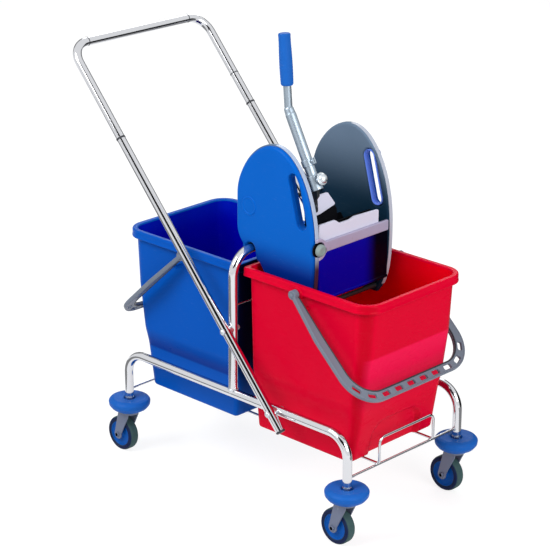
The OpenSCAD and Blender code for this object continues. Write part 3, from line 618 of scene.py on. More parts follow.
corners_yz = ((-rail_y, rail_z), (-rail_y, hoop_z), (rail_y, hoop_z), (rail_y, rail_z))
chrome(bent_round([(0, y, z) for y, z in corners_yz], HOOP_BEND), "hoop", "centre_hoop")
print("rails and hoop made")

# %% Welds at the feet of the hoop
LUMPS = 22
LUMP_STEPS = 4 * LUMPS
WELD_R = 1.6


def bead(place, radius):
    """A weld bead: a ring of small lumps round a joint."""
    line = []
    radii = []
    for k in range(LUMP_STEPS + 1):
        a = 2 * math.pi * k / LUMP_STEPS
        line.append((radius * math.cos(a), radius * math.sin(a), 0.25 * math.sin(LUMPS * a)))
        radii.append(WELD_R * (1 + 0.16 * math.cos(LUMPS * a)))
    return Shape().sweep(line, radii, 10, place)


for name, side in NEAR_FAR:
    foot = along((0, side * rail_y, rail_z + tube_r - 0.6), (0, 0, 1))
    bead(foot, tube_r + 0.4).piece(f"hoop_weld_{name}", zinc, FRAME, "zinc")
print("welds made")

# %% [markdown]
# ## The wire rack
# The buckets stand on two long wires that turn up at the ends as stops. Short ties and the two cross rods
# hold them. Wires are swept like the tubes, with fewer sides, because they are so thin. A boolean would
# leave a hard line where two of them cross, so each crossing has a small turned drop as its weld.

# %% Sizes of the wires
wire_low, wire_high = box_mm("front_cross_rod")
wire_r = (wire_high.z - wire_low.z) / 2
rod_z = (wire_high.z + wire_low.z) / 2
rack_low, rack_high = box_mm("rack_front")
rack_x = rack_high.x - wire_r
rack_y = rack_high.y - wire_r
rack_z = rack_low.z + wire_r
rack_top = rack_high.z - wire_r
tie_x = box_mm("rack_ties")[1].x - wire_r
tie_y = box_mm("rack_ties")[1].y
brace_low, brace_high = box_mm("hoop_wire")
hoop_wire_r = (brace_high.z - brace_low.z) / 2
hoop_wire_z = (brace_high.z + brace_low.z) / 2
weld_z = (rod_z + rack_z) / 2
FOOT_BEND = 8
STOP_BEND = 15
STOP_FOOT = 20
WIRE_SIDES = 20
DROP_R = 3.4
DROP = [(0, -DROP_R), (0.6 * DROP_R, -0.8 * DROP_R), (DROP_R, 0), (0.6 * DROP_R, 0.8 * DROP_R), (0, DROP_R)]
COLLAR = [(0, -1.6), (wire_r + 1.6, -1.2), (wire_r + 2, 0), (wire_r + 1.6, 1.2), (0, 1.6)]
print("wire radius", round(wire_r, 2), "rack height", round(rack_z, 1))

# %% Wires and their welds


def wired(shape, name, node):
    """A piece of the rack, in its chrome."""
    shape.piece(name, chrome_wire, FRAME, "chrome_wire", node)


def crossing(shape, x, y, z, r=wire_r, sides=WIRE_SIDES):
    """A straight wire from -y to y."""
    return shape.sweep([(x, -y, z), (x, y, z)], r, sides)


for name, end in FRONT_REAR:
    x = end * rack_x
    foot_z = rack_z + STOP_FOOT
    wired(crossing(Shape(), end * stem_x, rail_y, rod_z), f"cross_rod_{name}", f"{name}_cross_rod")
    stop = bent_round([(x, -rack_y, foot_z), (x, -rack_y, rack_top), (x, rack_y, rack_top),
                       (x, rack_y, foot_z)], STOP_BEND, 10)
    leg = bent_round([(0, -rack_y, rack_z), (x, -rack_y, rack_z), (x, -rack_y, foot_z)], FOOT_BEND, 8)
    other = [Vector((p.x, -p.y, p.z)) for p in reversed(leg)]
    rack_line = leg[:-1] + stop + other[1:]
    wired(Shape().sweep(rack_line, wire_r, WIRE_SIDES), f"rack_wire_{name}", f"rack_{name}")
    welds = Shape()
    for side in SIDES:
        for weld_x in (stem_x, tie_x):
            welds.lathe(DROP, along((end * weld_x, side * rack_y, weld_z), (0, 0, 1)), 16)
        rim = along((end * stem_x, side * (rail_y - tube_r + 0.4), rod_z), (0, 1, 0))
        welds.lathe(COLLAR, rim, 20)
    welds.piece(f"rack_welds_{name}", zinc, FRAME, "zinc")

ties = Shape()
for x in (-tie_x, tie_x):
    crossing(ties, x, tie_y, rod_z)
wired(ties, "rack_tie_wires", "rack_ties")
wired(crossing(Shape(), 0, rail_y, hoop_wire_z, hoop_wire_r, 18), "hoop_tie", "hoop_wire")
print("wires made")

# %% [markdown]
# ## The push handle
# Two straight tubes and a bow meet in dark joint rings. One long sweep could make the whole handle, but
# the real one comes apart at the rings, so its parts stay separate pieces. Thinner seams show where the
# bow's grip length was sleeved. The lower ends are plugged, and bolts through hollowed saddles hold the
# handle to the frame. Rings, plugs and bolts are turned, and most of their profiles have softened corners,
# because a dead sharp edge catches no light. The saddles are good as the CAD part has them, and only get
# their zinc.

# %% Softened profiles
NEARLY_HALF = 0.48


def bent(points, radius, steps=12):
    """A line through points whose inner corners are rounded."""
    points = [Vector(p) for p in points]
    line = [points[0]]
    for a, p, b in zip(points, points[1:], points[2:]):
        u = (p - a).normalized()
        v = (b - p).normalized()
        turn = u.angle(v)
        room = NEARLY_HALF * min((p - a).length, (b - p).length)
        reach = min(radius * math.tan(turn / 2), room)
        start = p - reach * u
        end = p + reach * v
        for i in range(steps + 1):
            t = i / steps
            line.append(start.lerp(p, t).lerp(p.lerp(end, t), t))
    line.append(points[-1])
    return line


def soften(profile, radius, steps=4):
    """Rounds the corners of a profile that is to be turned."""
    line = bent([(x, y, 0) for x, y in profile], radius, steps)
    return [(p.x, p.y) for p in line]


def ring_profile(inner, outer, low, high, soft, steps=4):
    """The section of a flat ring."""
    return soften([(inner, low), (outer, low), (outer, high), (inner, high)], soft, steps)


print("softened profiles ready")

# %% Tubes and bow of the handle
HANDLE_ANGLE = math.radians(48.3)
HANDLE_BEND = 46
up_handle = Vector((-math.cos(HANDLE_ANGLE), 0, math.sin(HANDLE_ANGLE)))
handle_low, handle_high = box_mm("handle_tube_far")
handle_y = (handle_low.y + handle_high.y) / 2
round_x = tube_r * math.sin(HANDLE_ANGLE)
round_z = tube_r * math.cos(HANDLE_ANGLE)
handle_foot = Vector((handle_high.x - round_x, 0, handle_low.z + round_z))
handle_joint = Vector((handle_low.x + round_x, 0, handle_high.z - round_z))
bow_low, bow_high = box_mm("handle_bow")
bow_top = Vector((bow_low.x + tube_r, 0, bow_high.z - tube_r))
RING_T = 3
RING_PROUD = 0.6


def beside(point, side):
    """A point of the handle's side view, on the near or the far tube."""
    return Vector((point.x, side * handle_y, point.z))


rings = Shape()
plugs = Shape()
ring = ring_profile(tube_r - 2, tube_r + RING_PROUD, -RING_PROUD, RING_T + RING_PROUD, 0.5)
plug = soften([(0, -4), (tube_r - 1.5, -4), (tube_r + 0.5, -2.5), (tube_r + 0.5, 0.4), (0, 0.4)], 1)
for name, side in NEAR_FAR:
    chrome([beside(handle_foot, side), beside(handle_joint, side)], f"push_tube_{name}",
           f"handle_tube_{name}")
    rings.lathe(ring, along(beside(handle_joint, side), up_handle), TUBE_SIDES, joined=True)
    plugs.lathe(plug, along(beside(handle_foot, side), up_handle), TUBE_SIDES)
rings.piece("handle_rings", dark_joint_and_bead_shade, FRAME, "joint_ring", "handle_ferrules")
plugs.piece("handle_plugs", dark_joint_and_bead_shade, FRAME, "joint_ring", "handle_end_caps")

bow_start = handle_joint + RING_T * up_handle
bow_corners = [beside(bow_start, -1), beside(bow_top, -1), beside(bow_top, 1), beside(bow_start, 1)]
chrome(bent_round(bow_corners, HANDLE_BEND, 18), "push_bow", "handle_bow")
print("handle tubes and bow made")

# %% Seams and bolts of the handle
SEAM_FAR = 80
SEAM_HALF = 1.1
seams = Shape()
seam = ring_profile(tube_r - 1, tube_r + 0.3, -SEAM_HALF, SEAM_HALF, 0.2, 2)
seam_y = handle_y - HANDLE_BEND - 2
for y in (-seam_y, seam_y):
    seams.lathe(seam, along((bow_top.x, y, bow_top.z), (0, 1, 0)), TUBE_SIDES, joined=True)
far_seam = along(beside(handle_joint + SEAM_FAR * up_handle, 1), up_handle)
seams.lathe(seam, far_seam, TUBE_SIDES, joined=True)
seams.piece("handle_seams", dark_joint_and_bead_shade, FRAME, "joint_ring")

BOLT_R = 3
HEAD_R = 6.2
HEAD_H = 4
NUT = [(0, 0), (7, 0), (7, 1), (6, 1.1), (6, 5), (5.2, 5.6), (0, 5.6)]
bolt_spots = [(handle_foot.x - (rail_z - handle_foot.z) / math.tan(HANDLE_ANGLE), rail_z),
              (0, handle_foot.z + handle_foot.x * math.tan(HANDLE_ANGLE))]
bolts = Shape()
washer = [(0, -0.3), (HEAD_R + 1.4, -0.3), (HEAD_R + 1.4, 0.9), (HEAD_R, 1.0)]
dome = [(HEAD_R * c, HEAD_H * s + 1.0) for s, c in swing(math.pi / 2, 10)]
for x, z in bolt_spots:
    for side in SIDES:
        out = Vector((0, side, 0))
        outside_y = side * (handle_y + tube_r)
        bolts.lathe(washer + dome, along((x, outside_y - 0.7 * side, z), out), 32)
        bolts.sweep([(x, side * (rail_y - tube_r - 5), z), (x, outside_y, z)], BOLT_R, 16)
        bolts.lathe(NUT, along((x, side * (rail_y - tube_r + 0.3), z), -out), 6)
bolts.piece("frame_bolts", zinc, FRAME, "zinc", "handle_bolts")

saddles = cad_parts["handle_saddles"]
saddles.data.materials.clear()
saddles.data.materials.append(zinc)
print("seams, bolts and saddles made")

# %% [markdown]
# ## Casters
# Each caster turns on a plain stem under its leg. A soft blue disc on top of the fork keeps door frames
# safe. The wheel has a blue hub with a raised ring and a boss, and a dark tyre with a round, dusty tread.
# Modelling these from cylinders would take many loop cuts. All are round, so a turned profile gives every
# groove and soft edge at once, and only the sides of the fork are cut from plate. One loop makes all four
# casters, because just their places and bodies differ.

# %% Stems
bumper_low, bumper_high = box_mm("bumper_front_far")
bumper_r = (bumper_high.x - bumper_low.x) / 2
# Radius and height, first over the foot of the leg and then over the bottom of the bumper disc
upper_stem = [(0, 20), (tube_r - 2, 20), (tube_r - 2, 0.2), (tube_r - 0.4, 0), (tube_r - 0.4, -1.4),
              (7.4, -1.6), (7.4, -3.2), (9.4, -3.6), (9.4, -5.2), (6, -5.6)]
lower_stem = [(6, 0.4), (5, 0), (5, -7), (8.5, -7.4), (8.5, -10), (0, -10)]
stem = soften([(r, leg_z + h) for r, h in upper_stem] + [(r, bumper_low.z + h) for r, h in lower_stem],
              0.4, 2)
stems = Shape()
for end in SIDES:
    for side in SIDES:
        stems.lathe(stem, Matrix.Translation((end * stem_x, side * rail_y, 0)), 32)
stems.piece("stems", zinc, FRAME, "zinc", "caster_stems")
print("stems made")

# %% Profiles of bumper, hub and tyre
tyre_low, tyre_high = box_mm("tyre_front_far")
wheel_r = (tyre_high.z - tyre_low.z) / 2
wheel_half = (tyre_high.y - tyre_low.y) / 2
hub_low, hub_high = box_mm("hub_front_far")
hub_r = (hub_high.z - hub_low.z) / 2
boss_half = (hub_high.y - hub_low.y) / 2
axle_low, axle_high = box_mm("axle_front_far")
axle_half = (axle_high.y - axle_low.y) / 2
FORK_T = 3.5
AXLE_R = 4
EYE_R = 11
CROWN_R = 22
CROWN_T = 7


def bumper_profile():
    """A dished disc: a flat foot, a full round edge and a well round the stem."""
    top = bumper_high.z
    low = bumper_low.z
    bore = 6.4
    foot = [(bore, low), (24, low), (32, low + 2), (bumper_r - 7, low + 7), (bumper_r - 1, low + 15)]
    edge = [(bumper_r, top - 8), (bumper_r - 4, top - 3), (bumper_r - 11, top - 0.6)]
    well = [(22, top - 1.5), (15, top - 2.2), (12.6, top - 4), (11, top - 8), (bore, top - 8)]
    return soften(foot + edge + well, 4, 5)


def hub_profile():
    """One face of the hub from its rim to its bore; the other face mirrors it."""
    face = wheel_half - 2
    half = [(hub_r, face), (hub_r - 2.4, face), (hub_r - 3.4, face - 1.4), (hub_r - 8, face - 1.8),
            (14, face - 1.8), (AXLE_R + 6.4, boss_half - 3), (AXLE_R + 5, boss_half),
            (AXLE_R + 0.1, boss_half)]
    return soften(half + [(r, -h) for r, h in reversed(half)], 0.7, 3)


def tyre_profile():
    """A side wall with a fine groove, and a tread that rounds over from it."""
    shoulder = 7
    tread_r = wheel_r - shoulder
    half = [(hub_r - 0.3, wheel_half - 2), (hub_r + 1.6, wheel_half), (tread_r - 1, wheel_half),
            (tread_r, wheel_half - 0.9), (tread_r + 1, wheel_half - 0.3)]
    flank = wheel_half - shoulder - 0.3
    for angle in range(22, 91, 11):
        a = math.radians(angle)
        half.append((tread_r + shoulder * math.sin(a), flank + shoulder * math.cos(a)))
    return soften([(r, -h) for r, h in half] + [(r, h) for r, h in reversed(half)], 0.4, 2)


print("wheel radius", round(wheel_r, 1), "bumper radius", round(bumper_r, 1))

# %% The four casters
AXLE_NUT = [(0, 0), (6.4, 0), (6.4, 1), (5.4, 1.1), (5.4, 3.2), (4.8, 4), (0, 4)]
CROWN_BORE = 5.1
crown_z = bumper_low.z - CROWN_T
fork_inner = boss_half + 0.3
crown = soften([(CROWN_BORE, crown_z), (CROWN_R - 1, crown_z), (CROWN_R, crown_z + 1.5),
                (CROWN_R, crown_z + 5), (CROWN_R - 2, crown_z + CROWN_T), (CROWN_BORE, crown_z + CROWN_T)],
               1.2)
for tag, end, side in CORNERS:
    stem_at = Vector((end * stem_x, side * rail_y, 0))
    spot = Matrix.Translation(stem_at)
    caster = f"caster_{tag}"
    wheel = f"wheel_{tag}"
    Shape().lathe(bumper_profile(), spot, 72, joined=True).piece(
        f"bumper_disc_{tag}", trim_blue, caster, "trim_blue", f"bumper_{tag}")
    axle_at = middle(f"tyre_{tag}")
    across = along(axle_at, (0, 1, 0))
    Shape().lathe(hub_profile(), across, 64, joined=True).piece(
        f"wheel_hub_{tag}", hub_blue, wheel, "trim_blue", f"hub_{tag}")
    Shape().lathe(tyre_profile(), across, 72, joined=True).piece(
        f"wheel_tyre_{tag}", tyre_rubber, wheel, "tyre_rubber", f"tyre_{tag}")

    trail = axle_at.x - stem_at.x
    fork = Shape().lathe(crown, spot, 48, joined=True)
    hip = [Vector((-CROWN_R + 3, crown_z + CROWN_T - 1)), Vector((CROWN_R - 9, crown_z + CROWN_T - 1)),
           Vector((CROWN_R - 12, crown_z - 8))]
    toe = arc((trail, axle_at.z), EYE_R, 15, -190, 14)
    side_plate = [p + Vector((stem_at.x, 0)) for p in hip + toe]
    for y in (stem_at.y - fork_inner - FORK_T, stem_at.y + fork_inner):
        fork.slab(side_plate[::-1], FORK_T, 0.9, 0.9, place=plate_xz(y), steps=3)
    fork.piece(f"caster_fork_{tag}", fork_grey, caster, "fork_grey", f"fork_{tag}", weighted=True)

    reach = Vector((0, axle_half, 0))
    pin = Shape().sweep([axle_at - reach, axle_at + reach], AXLE_R - 0.1, 20)
    for way in SIDES:
        head = along(axle_at + Vector((0, way * (fork_inner + FORK_T), 0)), (0, way, 0))
        pin.lathe(AXLE_NUT, head, 6)
    pin.piece(f"caster_axle_{tag}", fork_grey, caster, "fork_grey", f"axle_{tag}")
print("casters made")

# %% [markdown]
# ## Buckets
# A moulded bucket is one thin wall: it rises from a rounded foot, steps out where the frame's rails pass,
# turns over at the rim and comes down again inside. A tapered box with a Solidify modifier would be quick,
# but it has no turned lip, and its corners would be equally round all the way up. So the wall is a loft of
# rings, each a rectangle with round corners. The loft is cut just inside the rim into an outside and an
# inside, because so much less light falls inside that it needs its own finish. The arch in the outer end
# is pressed into both.

# %% Marks of the bucket wall
WALL_T = 3
LIP_OVER = 11
LIP_H = 19
RIM_CORNER = 47
INNER_CORNER = 10
STEP_Z = 282
STEP_BAND = 18
CREASE_Z = 402
ARCH_W = 150
ARCH_H = 76
ARCH_DEEP = 8
ARCH_SOFT = 3.2
bucket_low, bucket_high = box_mm("red_bucket")
floor_z = bucket_low.z
rim_z = bucket_high.z
bucket_l = bucket_high.x - bucket_low.x
RIM_HALF = 157.5
rim_start = {1: bucket_low.x, -1: -box_mm("blue_bucket")[1].x}

# Height, inner end, outer end, half width, inner and outer corner radius of the outside of the wall
wall_marks = [
    (floor_z, 27, bucket_l - 62, RIM_HALF - 22, 10, 16),
    (STEP_Z - STEP_BAND, 19, bucket_l - 43, RIM_HALF - 19, 10, 24),
    (STEP_Z + STEP_BAND, 17, bucket_l - 37, RIM_HALF - 13, 10, 26),
    (CREASE_Z, 14.5, bucket_l - 20, RIM_HALF - 12, 10, 32),
    (rim_z, 11, bucket_l - 11, RIM_HALF - 11, 10, 36),
]


def straight_at(z):
    """Plan of the wall at a height, straight between the marks."""
    z = min(max(z, floor_z), rim_z)
    for a, b in zip(wall_marks, wall_marks[1:]):
        if z <= b[0]:
            t = (z - a[0]) / (b[0] - a[0])
            return [p + t * (q - p) for p, q in zip(a[1:], b[1:])]


def wall_at(z):
    """Plan of the wall at a height, with the creases softened."""
    nearby = [straight_at(z + d) for d in (-5, -3, -1, 1, 3, 5)]
    return [sum(values) / len(values) for values in zip(*nearby)]


print("wall drawn by", len(wall_marks), "marks")

# %% A ring round the bucket


def between(a, b, parts):
    """The points that cut a straight side into parts, without its ends."""
    return [Vector(a).lerp(Vector(b), i / parts) for i in range(1, parts)]


def plan(inner, outer, half, r_in, r_out):
    """A ring round the bucket: the same number of points on every plan."""
    corner, outer_n, inner_n, side_n = 14, 36, 12, 24
    ring = arc((outer - r_out, half - r_out), r_out, 0, 90, corner)
    ring += between((outer - r_out, half), (inner + r_in, half), side_n)
    ring += arc((inner + r_in, half - r_in), r_in, 90, 180, corner)
    ring += between((inner, half - r_in), (inner, r_in - half), inner_n)
    ring += arc((inner + r_in, r_in - half), r_in, 180, 270, corner)
    ring += between((inner + r_in, -half), (outer - r_out, -half), side_n)
    ring += arc((outer - r_out, r_out - half), r_out, 270, 360, corner)
    return ring + between((outer, r_out - half), (outer, half - r_out), outer_n)


print("points on a ring:", len(plan(0, bucket_l, RIM_HALF, INNER_CORNER, RIM_CORNER)))

# %% Arch, wall and rim


def smooth(low, high, x):
    """0 before low, 1 after high, smooth between."""
    t = min(max((x - low) / (high - low), 0), 1)
    return t * t * (3 - 2 * t)


def arch_depth(y, z):
    """How far the arch in the outer end is pressed in at a point of that wall."""
    r = ARCH_W / 4
    dx = abs(y) - (ARCH_W / 2 - r)
    dz = z - floor_z - (ARCH_H - r)
    beyond = math.hypot(max(dx, 0), max(dz, 0)) + min(max(dx, dz), 0) - r
    return ARCH_DEEP * smooth(ARCH_SOFT, -ARCH_SOFT, beyond)


def wall_ring(z, offset):
    """The wall at a height, moved in by offset, with the arch pressed into its outer end."""
    inner, outer, half, r_in, r_out = wall_at(z)
    ring = plan(inner + offset, outer - offset, half - offset, max(r_in - offset, 2),
                max(r_out - offset, 2))
    outer_end = outer - 40
    points = []
    for p in ring:
        deep = arch_depth(p.y, z) if p.x > outer_end else 0
        points.append((p.x - deep, p.y, z))
    return points


def rim_ring(z, offset):
    """The turned-down rim at a height, moved in by offset."""
    ring = plan(offset, bucket_l - offset, RIM_HALF - offset, max(INNER_CORNER - offset, 3),
                max(RIM_CORNER - offset, 3))
    return [(p.x, p.y, z) for p in ring]


print("the arch is", round(arch_depth(0, floor_z), 1), "mm deep at its foot")

# %% From the foot over the rim to the floor


def levels(low, high, pitch):
    """Heights from low to high, about a pitch apart."""
    n = max(1, round((high - low) / pitch))
    return [low + (high - low) * i / n for i in range(n + 1)]


def bucket_shell():
    """Rings up the outside and over the rim, and rings from there down the inside."""
    foot_r, lip_r, top_r, roll_r, inner_r = 6, 1.4, 3.6, 4, 8
    floor_t = 3.5
    middle_in = 46
    set_back = 0.7
    quarter = math.pi / 2
    under = rim_z - WALL_T
    lip_z = rim_z - LIP_H
    heights = (levels(floor_z + foot_r, floor_z + ARCH_H + 14, 3.2)
               + levels(STEP_Z - 24, STEP_Z + 24, 3) + levels(STEP_Z + 30, CREASE_Z - 12, 12)
               + levels(CREASE_Z - 8, CREASE_Z + 8, 2.6) + levels(CREASE_Z + 14, lip_z - 2, 14))
    rings = [wall_ring(floor_z + 1.6, middle_in), wall_ring(floor_z + 1.6, 18), wall_ring(floor_z, 15)]
    rings += [wall_ring(floor_z + foot_r * (1 - c), foot_r * (1 - s)) for s, c in swing(quarter, 6)]
    rings += [wall_ring(z, 0) for z in heights[1:]]
    rings += [wall_ring(under - 5, 0), rim_ring(under - 1.2, LIP_OVER - 0.8)]
    rings += [rim_ring(under, LIP_OVER - 2.4), rim_ring(under, WALL_T + 1.2), rim_ring(under - 1.2, WALL_T)]
    rings += [rim_ring(lip_z + lip_r * (1 - s), WALL_T / 2 * (1 + c)) for s, c in swing(math.pi, 4)]
    rings += [rim_ring(lip_z + 3.4, 0), rim_ring(lip_z + 4.2, set_back), rim_ring(rim_z - 8, set_back)]
    rings += [rim_ring(rim_z - top_r * (1 - s), set_back + top_r * (1 - c)) for s, c in swing(quarter, 5)]
    rings += [rim_ring(rim_z, LIP_OVER - 1.5)]
    rings += [wall_ring(rim_z - roll_r * (1 - c), WALL_T - roll_r * (1 - s)) for s, c in swing(quarter, 4)]
    inside = [rings[-1]] + [wall_ring(z, WALL_T) for z in reversed(heights) if z > floor_z + 14]
    inside += [wall_ring(floor_z + floor_t + inner_r * (1 - s), WALL_T + inner_r * (1 - c))
               for s, c in swing(quarter, 6)]
    return rings, inside + [wall_ring(floor_z + floor_t, middle_in)]


outside, inside = bucket_shell()
print("rings outside", len(outside), "and inside", len(inside))

# %% Walls, bosses, pegs and pins
PIVOT_S = 161
PIVOT_DROP = 17
DROOP = math.radians(43)
PIN_Y = 160
PIN_R = 5
BAIL_T = 10
PEG_R = 4
PEG_AT = 36
pivot_z = rim_z - PIVOT_DROP


def at_bucket(end):
    """Places a shape drawn from the inner end of a rim outwards, on the red or the blue side."""
    return Matrix.Diagonal((end, 1, 1, 1)) @ Matrix.Translation((rim_start[end], 0, 0))


bucket_looks = {1: ("red", bucket_red, painted_light_inside_red), -1: ("blue", bucket_blue, painted_shade_inside_blue)}
peg_off = BAIL_T / 2 + PEG_R + 0.3
peg_s = PIVOT_S + PEG_AT * math.cos(DROOP) - peg_off * math.sin(DROOP)
peg_z = pivot_z - PEG_AT * math.sin(DROOP) - peg_off * math.cos(DROOP)
boss = soften([(0, -14), (15, -14), (13.5, -3), (12, -0.4), (0, -0.4)], 1.2)
peg = soften([(0, -16), (PEG_R + 3, -16), (PEG_R, -11), (PEG_R, 10), (0, 10)], 1.0)
pin_head = soften([(0, -4), (PIN_R - 0.1, -4), (PIN_R - 0.1, 14.8), (5.6, 14.8), (5.6, 15.8), (4.8, 17),
                   (3.0, 17.8), (0, 18)], 0.6)
for end, (colour, finish, inside_painted_light) in bucket_looks.items():
    place = at_bucket(end)
    slot = f"bucket_{colour}"
    bucket = Shape().rings(outside, place, (True, False))
    pins = Shape()
    for side in SIDES:
        out = (0, side, 0)
        pivot = place @ along((PIVOT_S, side * PIN_Y, pivot_z), out)
        bucket.lathe(boss, pivot, 40)
        bucket.lathe(peg, place @ along((peg_s, side * PIN_Y, peg_z), out), 24)
        pins.lathe(pin_head, pivot, 32)
    bucket.piece(f"{colour}_bucket_wall", finish, FRAME, slot, f"{colour}_bucket", sharp=50)
    # The inside takes its own finish of painted light and shade.
    lining = Shape().rings(inside, place, (False, True))
    lining.piece(f"{colour}_bucket_inside", inside_painted_light, FRAME, slot, sharp=50)
    pins.piece(f"{colour}_bail_pins", bail_grey, FRAME, "bail_grey")
print("buckets made: rim length", round(bucket_l), "depth", round(rim_z - floor_z))

# %% [markdown]
# ## Bails
# The carrying bail is a moulded strap bent like a horseshoe. Its arms widen from the eyes to the grip, a
# bead runs along both edges, and a row of windows lightens the grip and the corners. A sweep could follow
# the bend, but it can't have windows, so the strap is a plate with holes, and only its beads are swept.
# The inner beads lie in the strap's own shade and get a dark finish.

# %% The bail strap
ARM_Y = 160.5
ARM_OUT = 188
EYE_W = 14
STRAP = 24
BAIL_REACH = 281
BAIL_CORNER = 78
INNER_BEND = BAIL_CORNER - 18
WINDOW_PITCH = 39
WINDOWS = 10
WINDOW_L = 22
WINDOW_W = 10
BEAD_R = 1.9
BEAD_IN = 2.2


def half_strap(y0, y1, reach, corner):
    """One arm and the corner of the grip, from the eye at y0."""
    return [Vector((0, y0)), Vector((110, y1))] + arc((reach - corner, y1 - corner), corner, 90, 0, 20)


def both_ways(half):
    """A half and its mirror image, in one line."""
    return half + [Vector((p.x, -p.y)) for p in reversed(half)]


def strap_line(out):
    """A line along one half of the strap, moved out from its inner edge."""
    return half_strap(ARM_Y + out, ARM_OUT - STRAP + out, BAIL_REACH - STRAP + out,
                      INNER_BEND + 0.75 * out)


def rounded_box(low, high, radius, steps):
    """A rectangle whose corners are arcs."""
    (x0, y0), (x1, y1) = low, high
    turns = ((x1 - radius, y1 - radius), (x0 + radius, y1 - radius), (x0 + radius, y0 + radius),
             (x1 - radius, y0 + radius))
    return [p for k, centre in enumerate(turns) for p in arc(centre, radius, 90 * k, 90 * k + 90, steps)]


def bail_windows():
    """Windows along the grip, round both corners and a little way up the arms."""
    windows = []
    shape = rounded_box((-WINDOW_L / 2, -WINDOW_W / 2), (WINDOW_L / 2, WINDOW_W / 2), 3.0, 4)
    walk = both_ways(strap_line(STRAP / 2)[2:])
    lengths = [0]
    for a, b in zip(walk, walk[1:]):
        lengths.append(lengths[-1] + (b - a).length)
    for k in range(WINDOWS):
        want = lengths[-1] / 2 + (k - (WINDOWS - 1) / 2) * WINDOW_PITCH
        i = max(j for j in range(len(lengths) - 1) if lengths[j] <= max(want, 0))
        t = (want - lengths[i]) / (lengths[i + 1] - lengths[i])
        centre = walk[i].lerp(walk[i + 1], t)
        way = (walk[i + 1] - walk[i]).normalized()
        across = Vector((-way.y, way.x))
        windows.append([centre + p.x * way + p.y * across for p in shape])
    return windows


def bead_line(half, shift):
    """A strap's edge moved across the strap, from one eye round the grip to the other."""
    line = []
    for i, p in enumerate(half):
        turn = math.pi / 2 * max(i - 2, 0) / (len(half) - 3)
        line.append(Vector((p.x + shift * math.sin(turn), p.y + shift * math.cos(turn), 0)))
    return line + [Vector((p.x, -p.y, 0)) for p in reversed(line)]


print("the strap reaches", BAIL_REACH, "mm from its pins")

# %% Both bails


def sleeve(bore, radius, low, high, edge, soft):
    """The section of a sleeve or a rod whose edges are bevelled, edge[0] across and edge[1] along."""
    wide, deep = edge
    return soften([(bore, low), (radius - wide, low), (radius, low + deep), (radius, high - deep),
                   (radius - wide, high), (bore, high)], soft)


outer_half = half_strap(ARM_Y + EYE_W, ARM_OUT, BAIL_REACH, BAIL_CORNER)
inner_half = strap_line(0)
strap_loop = both_ways(outer_half) + both_ways(inner_half)[::-1]
eye = sleeve(PIN_R + 0.1, 10, 0, EYE_W, (1, 1), 0.8)
bead_z = BAIL_T / 2 - BEAD_R
for end, (colour, *_) in bucket_looks.items():
    body = f"{colour}_bail_body"
    place = at_bucket(end) @ Matrix.Translation((PIVOT_S, 0, pivot_z)) @ Matrix.Rotation(DROOP, 4, "Y")
    bail = Shape().slab(strap_loop, BAIL_T - 2, 2.4, 2.4, bail_windows(),
                        place @ Matrix.Translation((0, 0, 1 - BAIL_T / 2)))
    inner_bead = Shape()
    for shape, half, shift in ((bail, outer_half, -BEAD_IN), (inner_bead, inner_half, BEAD_IN)):
        line = bead_line(half, shift)
        for z in (bead_z, -bead_z):
            shape.sweep([p + Vector((0, 0, z)) for p in line], BEAD_R, 10, place)
    # Painted shade: the inner beads take the dark joint finish.
    inner_bead.piece(f"{colour}_bail_bead", dark_joint_and_bead_shade, body, "bail_grey")
    for side in SIDES:
        bail.lathe(eye, place @ along((0, side * ARM_Y, 0), (0, side, 0)), 40, joined=True)
    bail.piece(f"{colour}_bail_strap", bail_grey, body, "bail_grey", f"{colour}_bail", weighted=True)
print("bails made")

# %% [markdown]
# ## Wringer shoulders
# Each shoulder is a grey liner with a blue cover on its outside. The cover's edge is rolled over softly, a
# slot takes the fingers, and a plain raised disc marks where the moulding was filled. The liner's front
# edge carries a pale trim. A Bevel modifier can fold over itself at so wide an edge. So the plates are
# drawn in side view, and `slab` gives them their thickness and round edges, ring by ring.

# %% Outline of a shoulder
liner_low, liner_high = box_mm("far_liner")
chamber_y = liner_low.y
liner_y = liner_high.y
DISC_RISE = 1.5
cover_y = box_mm("far_cover")[1].y - DISC_RISE
wringer_rear = liner_low.x
wringer_front = liner_high.x
wringer_top = liner_high.z
wringer_low = liner_low.z
CROWN_X = 68
NOTCH_R = tube_r + 0.3
SLOT = {"centre": (wringer_front - 47, hoop_z + 135), "tilt": 15}
SLOT_W = 26
SLOT_L = 118
NOTCH_CLEAR = 0.5
WRINGER = "wringer"


def bezier(a, b, c, d, steps):
    """A curve from a to d that leaves towards b and arrives from c."""
    a, b, c, d = (Vector(p) for p in (a, b, c, d))
    line = []
    for i in range(steps + 1):
        t = i / steps
        s = 1 - t
        line.append(s * s * s * a + 3 * s * s * t * b + 3 * s * t * t * c + t * t * t * d)
    return line


def front_curve(steps=24):
    """The front edge, from the crown down."""
    return bezier((CROWN_X, wringer_top), (CROWN_X + 62, wringer_top), (wringer_front, wringer_top - 92),
                  (wringer_front, hoop_z + 37), steps)


def toe_curve(steps=12):
    """The lower front edge, down to the toe."""
    return bezier((wringer_front, hoop_z + 22), (wringer_front, hoop_z - 40),
                  (wringer_front - 5, wringer_low + 30), (wringer_front - 34, wringer_low), steps)


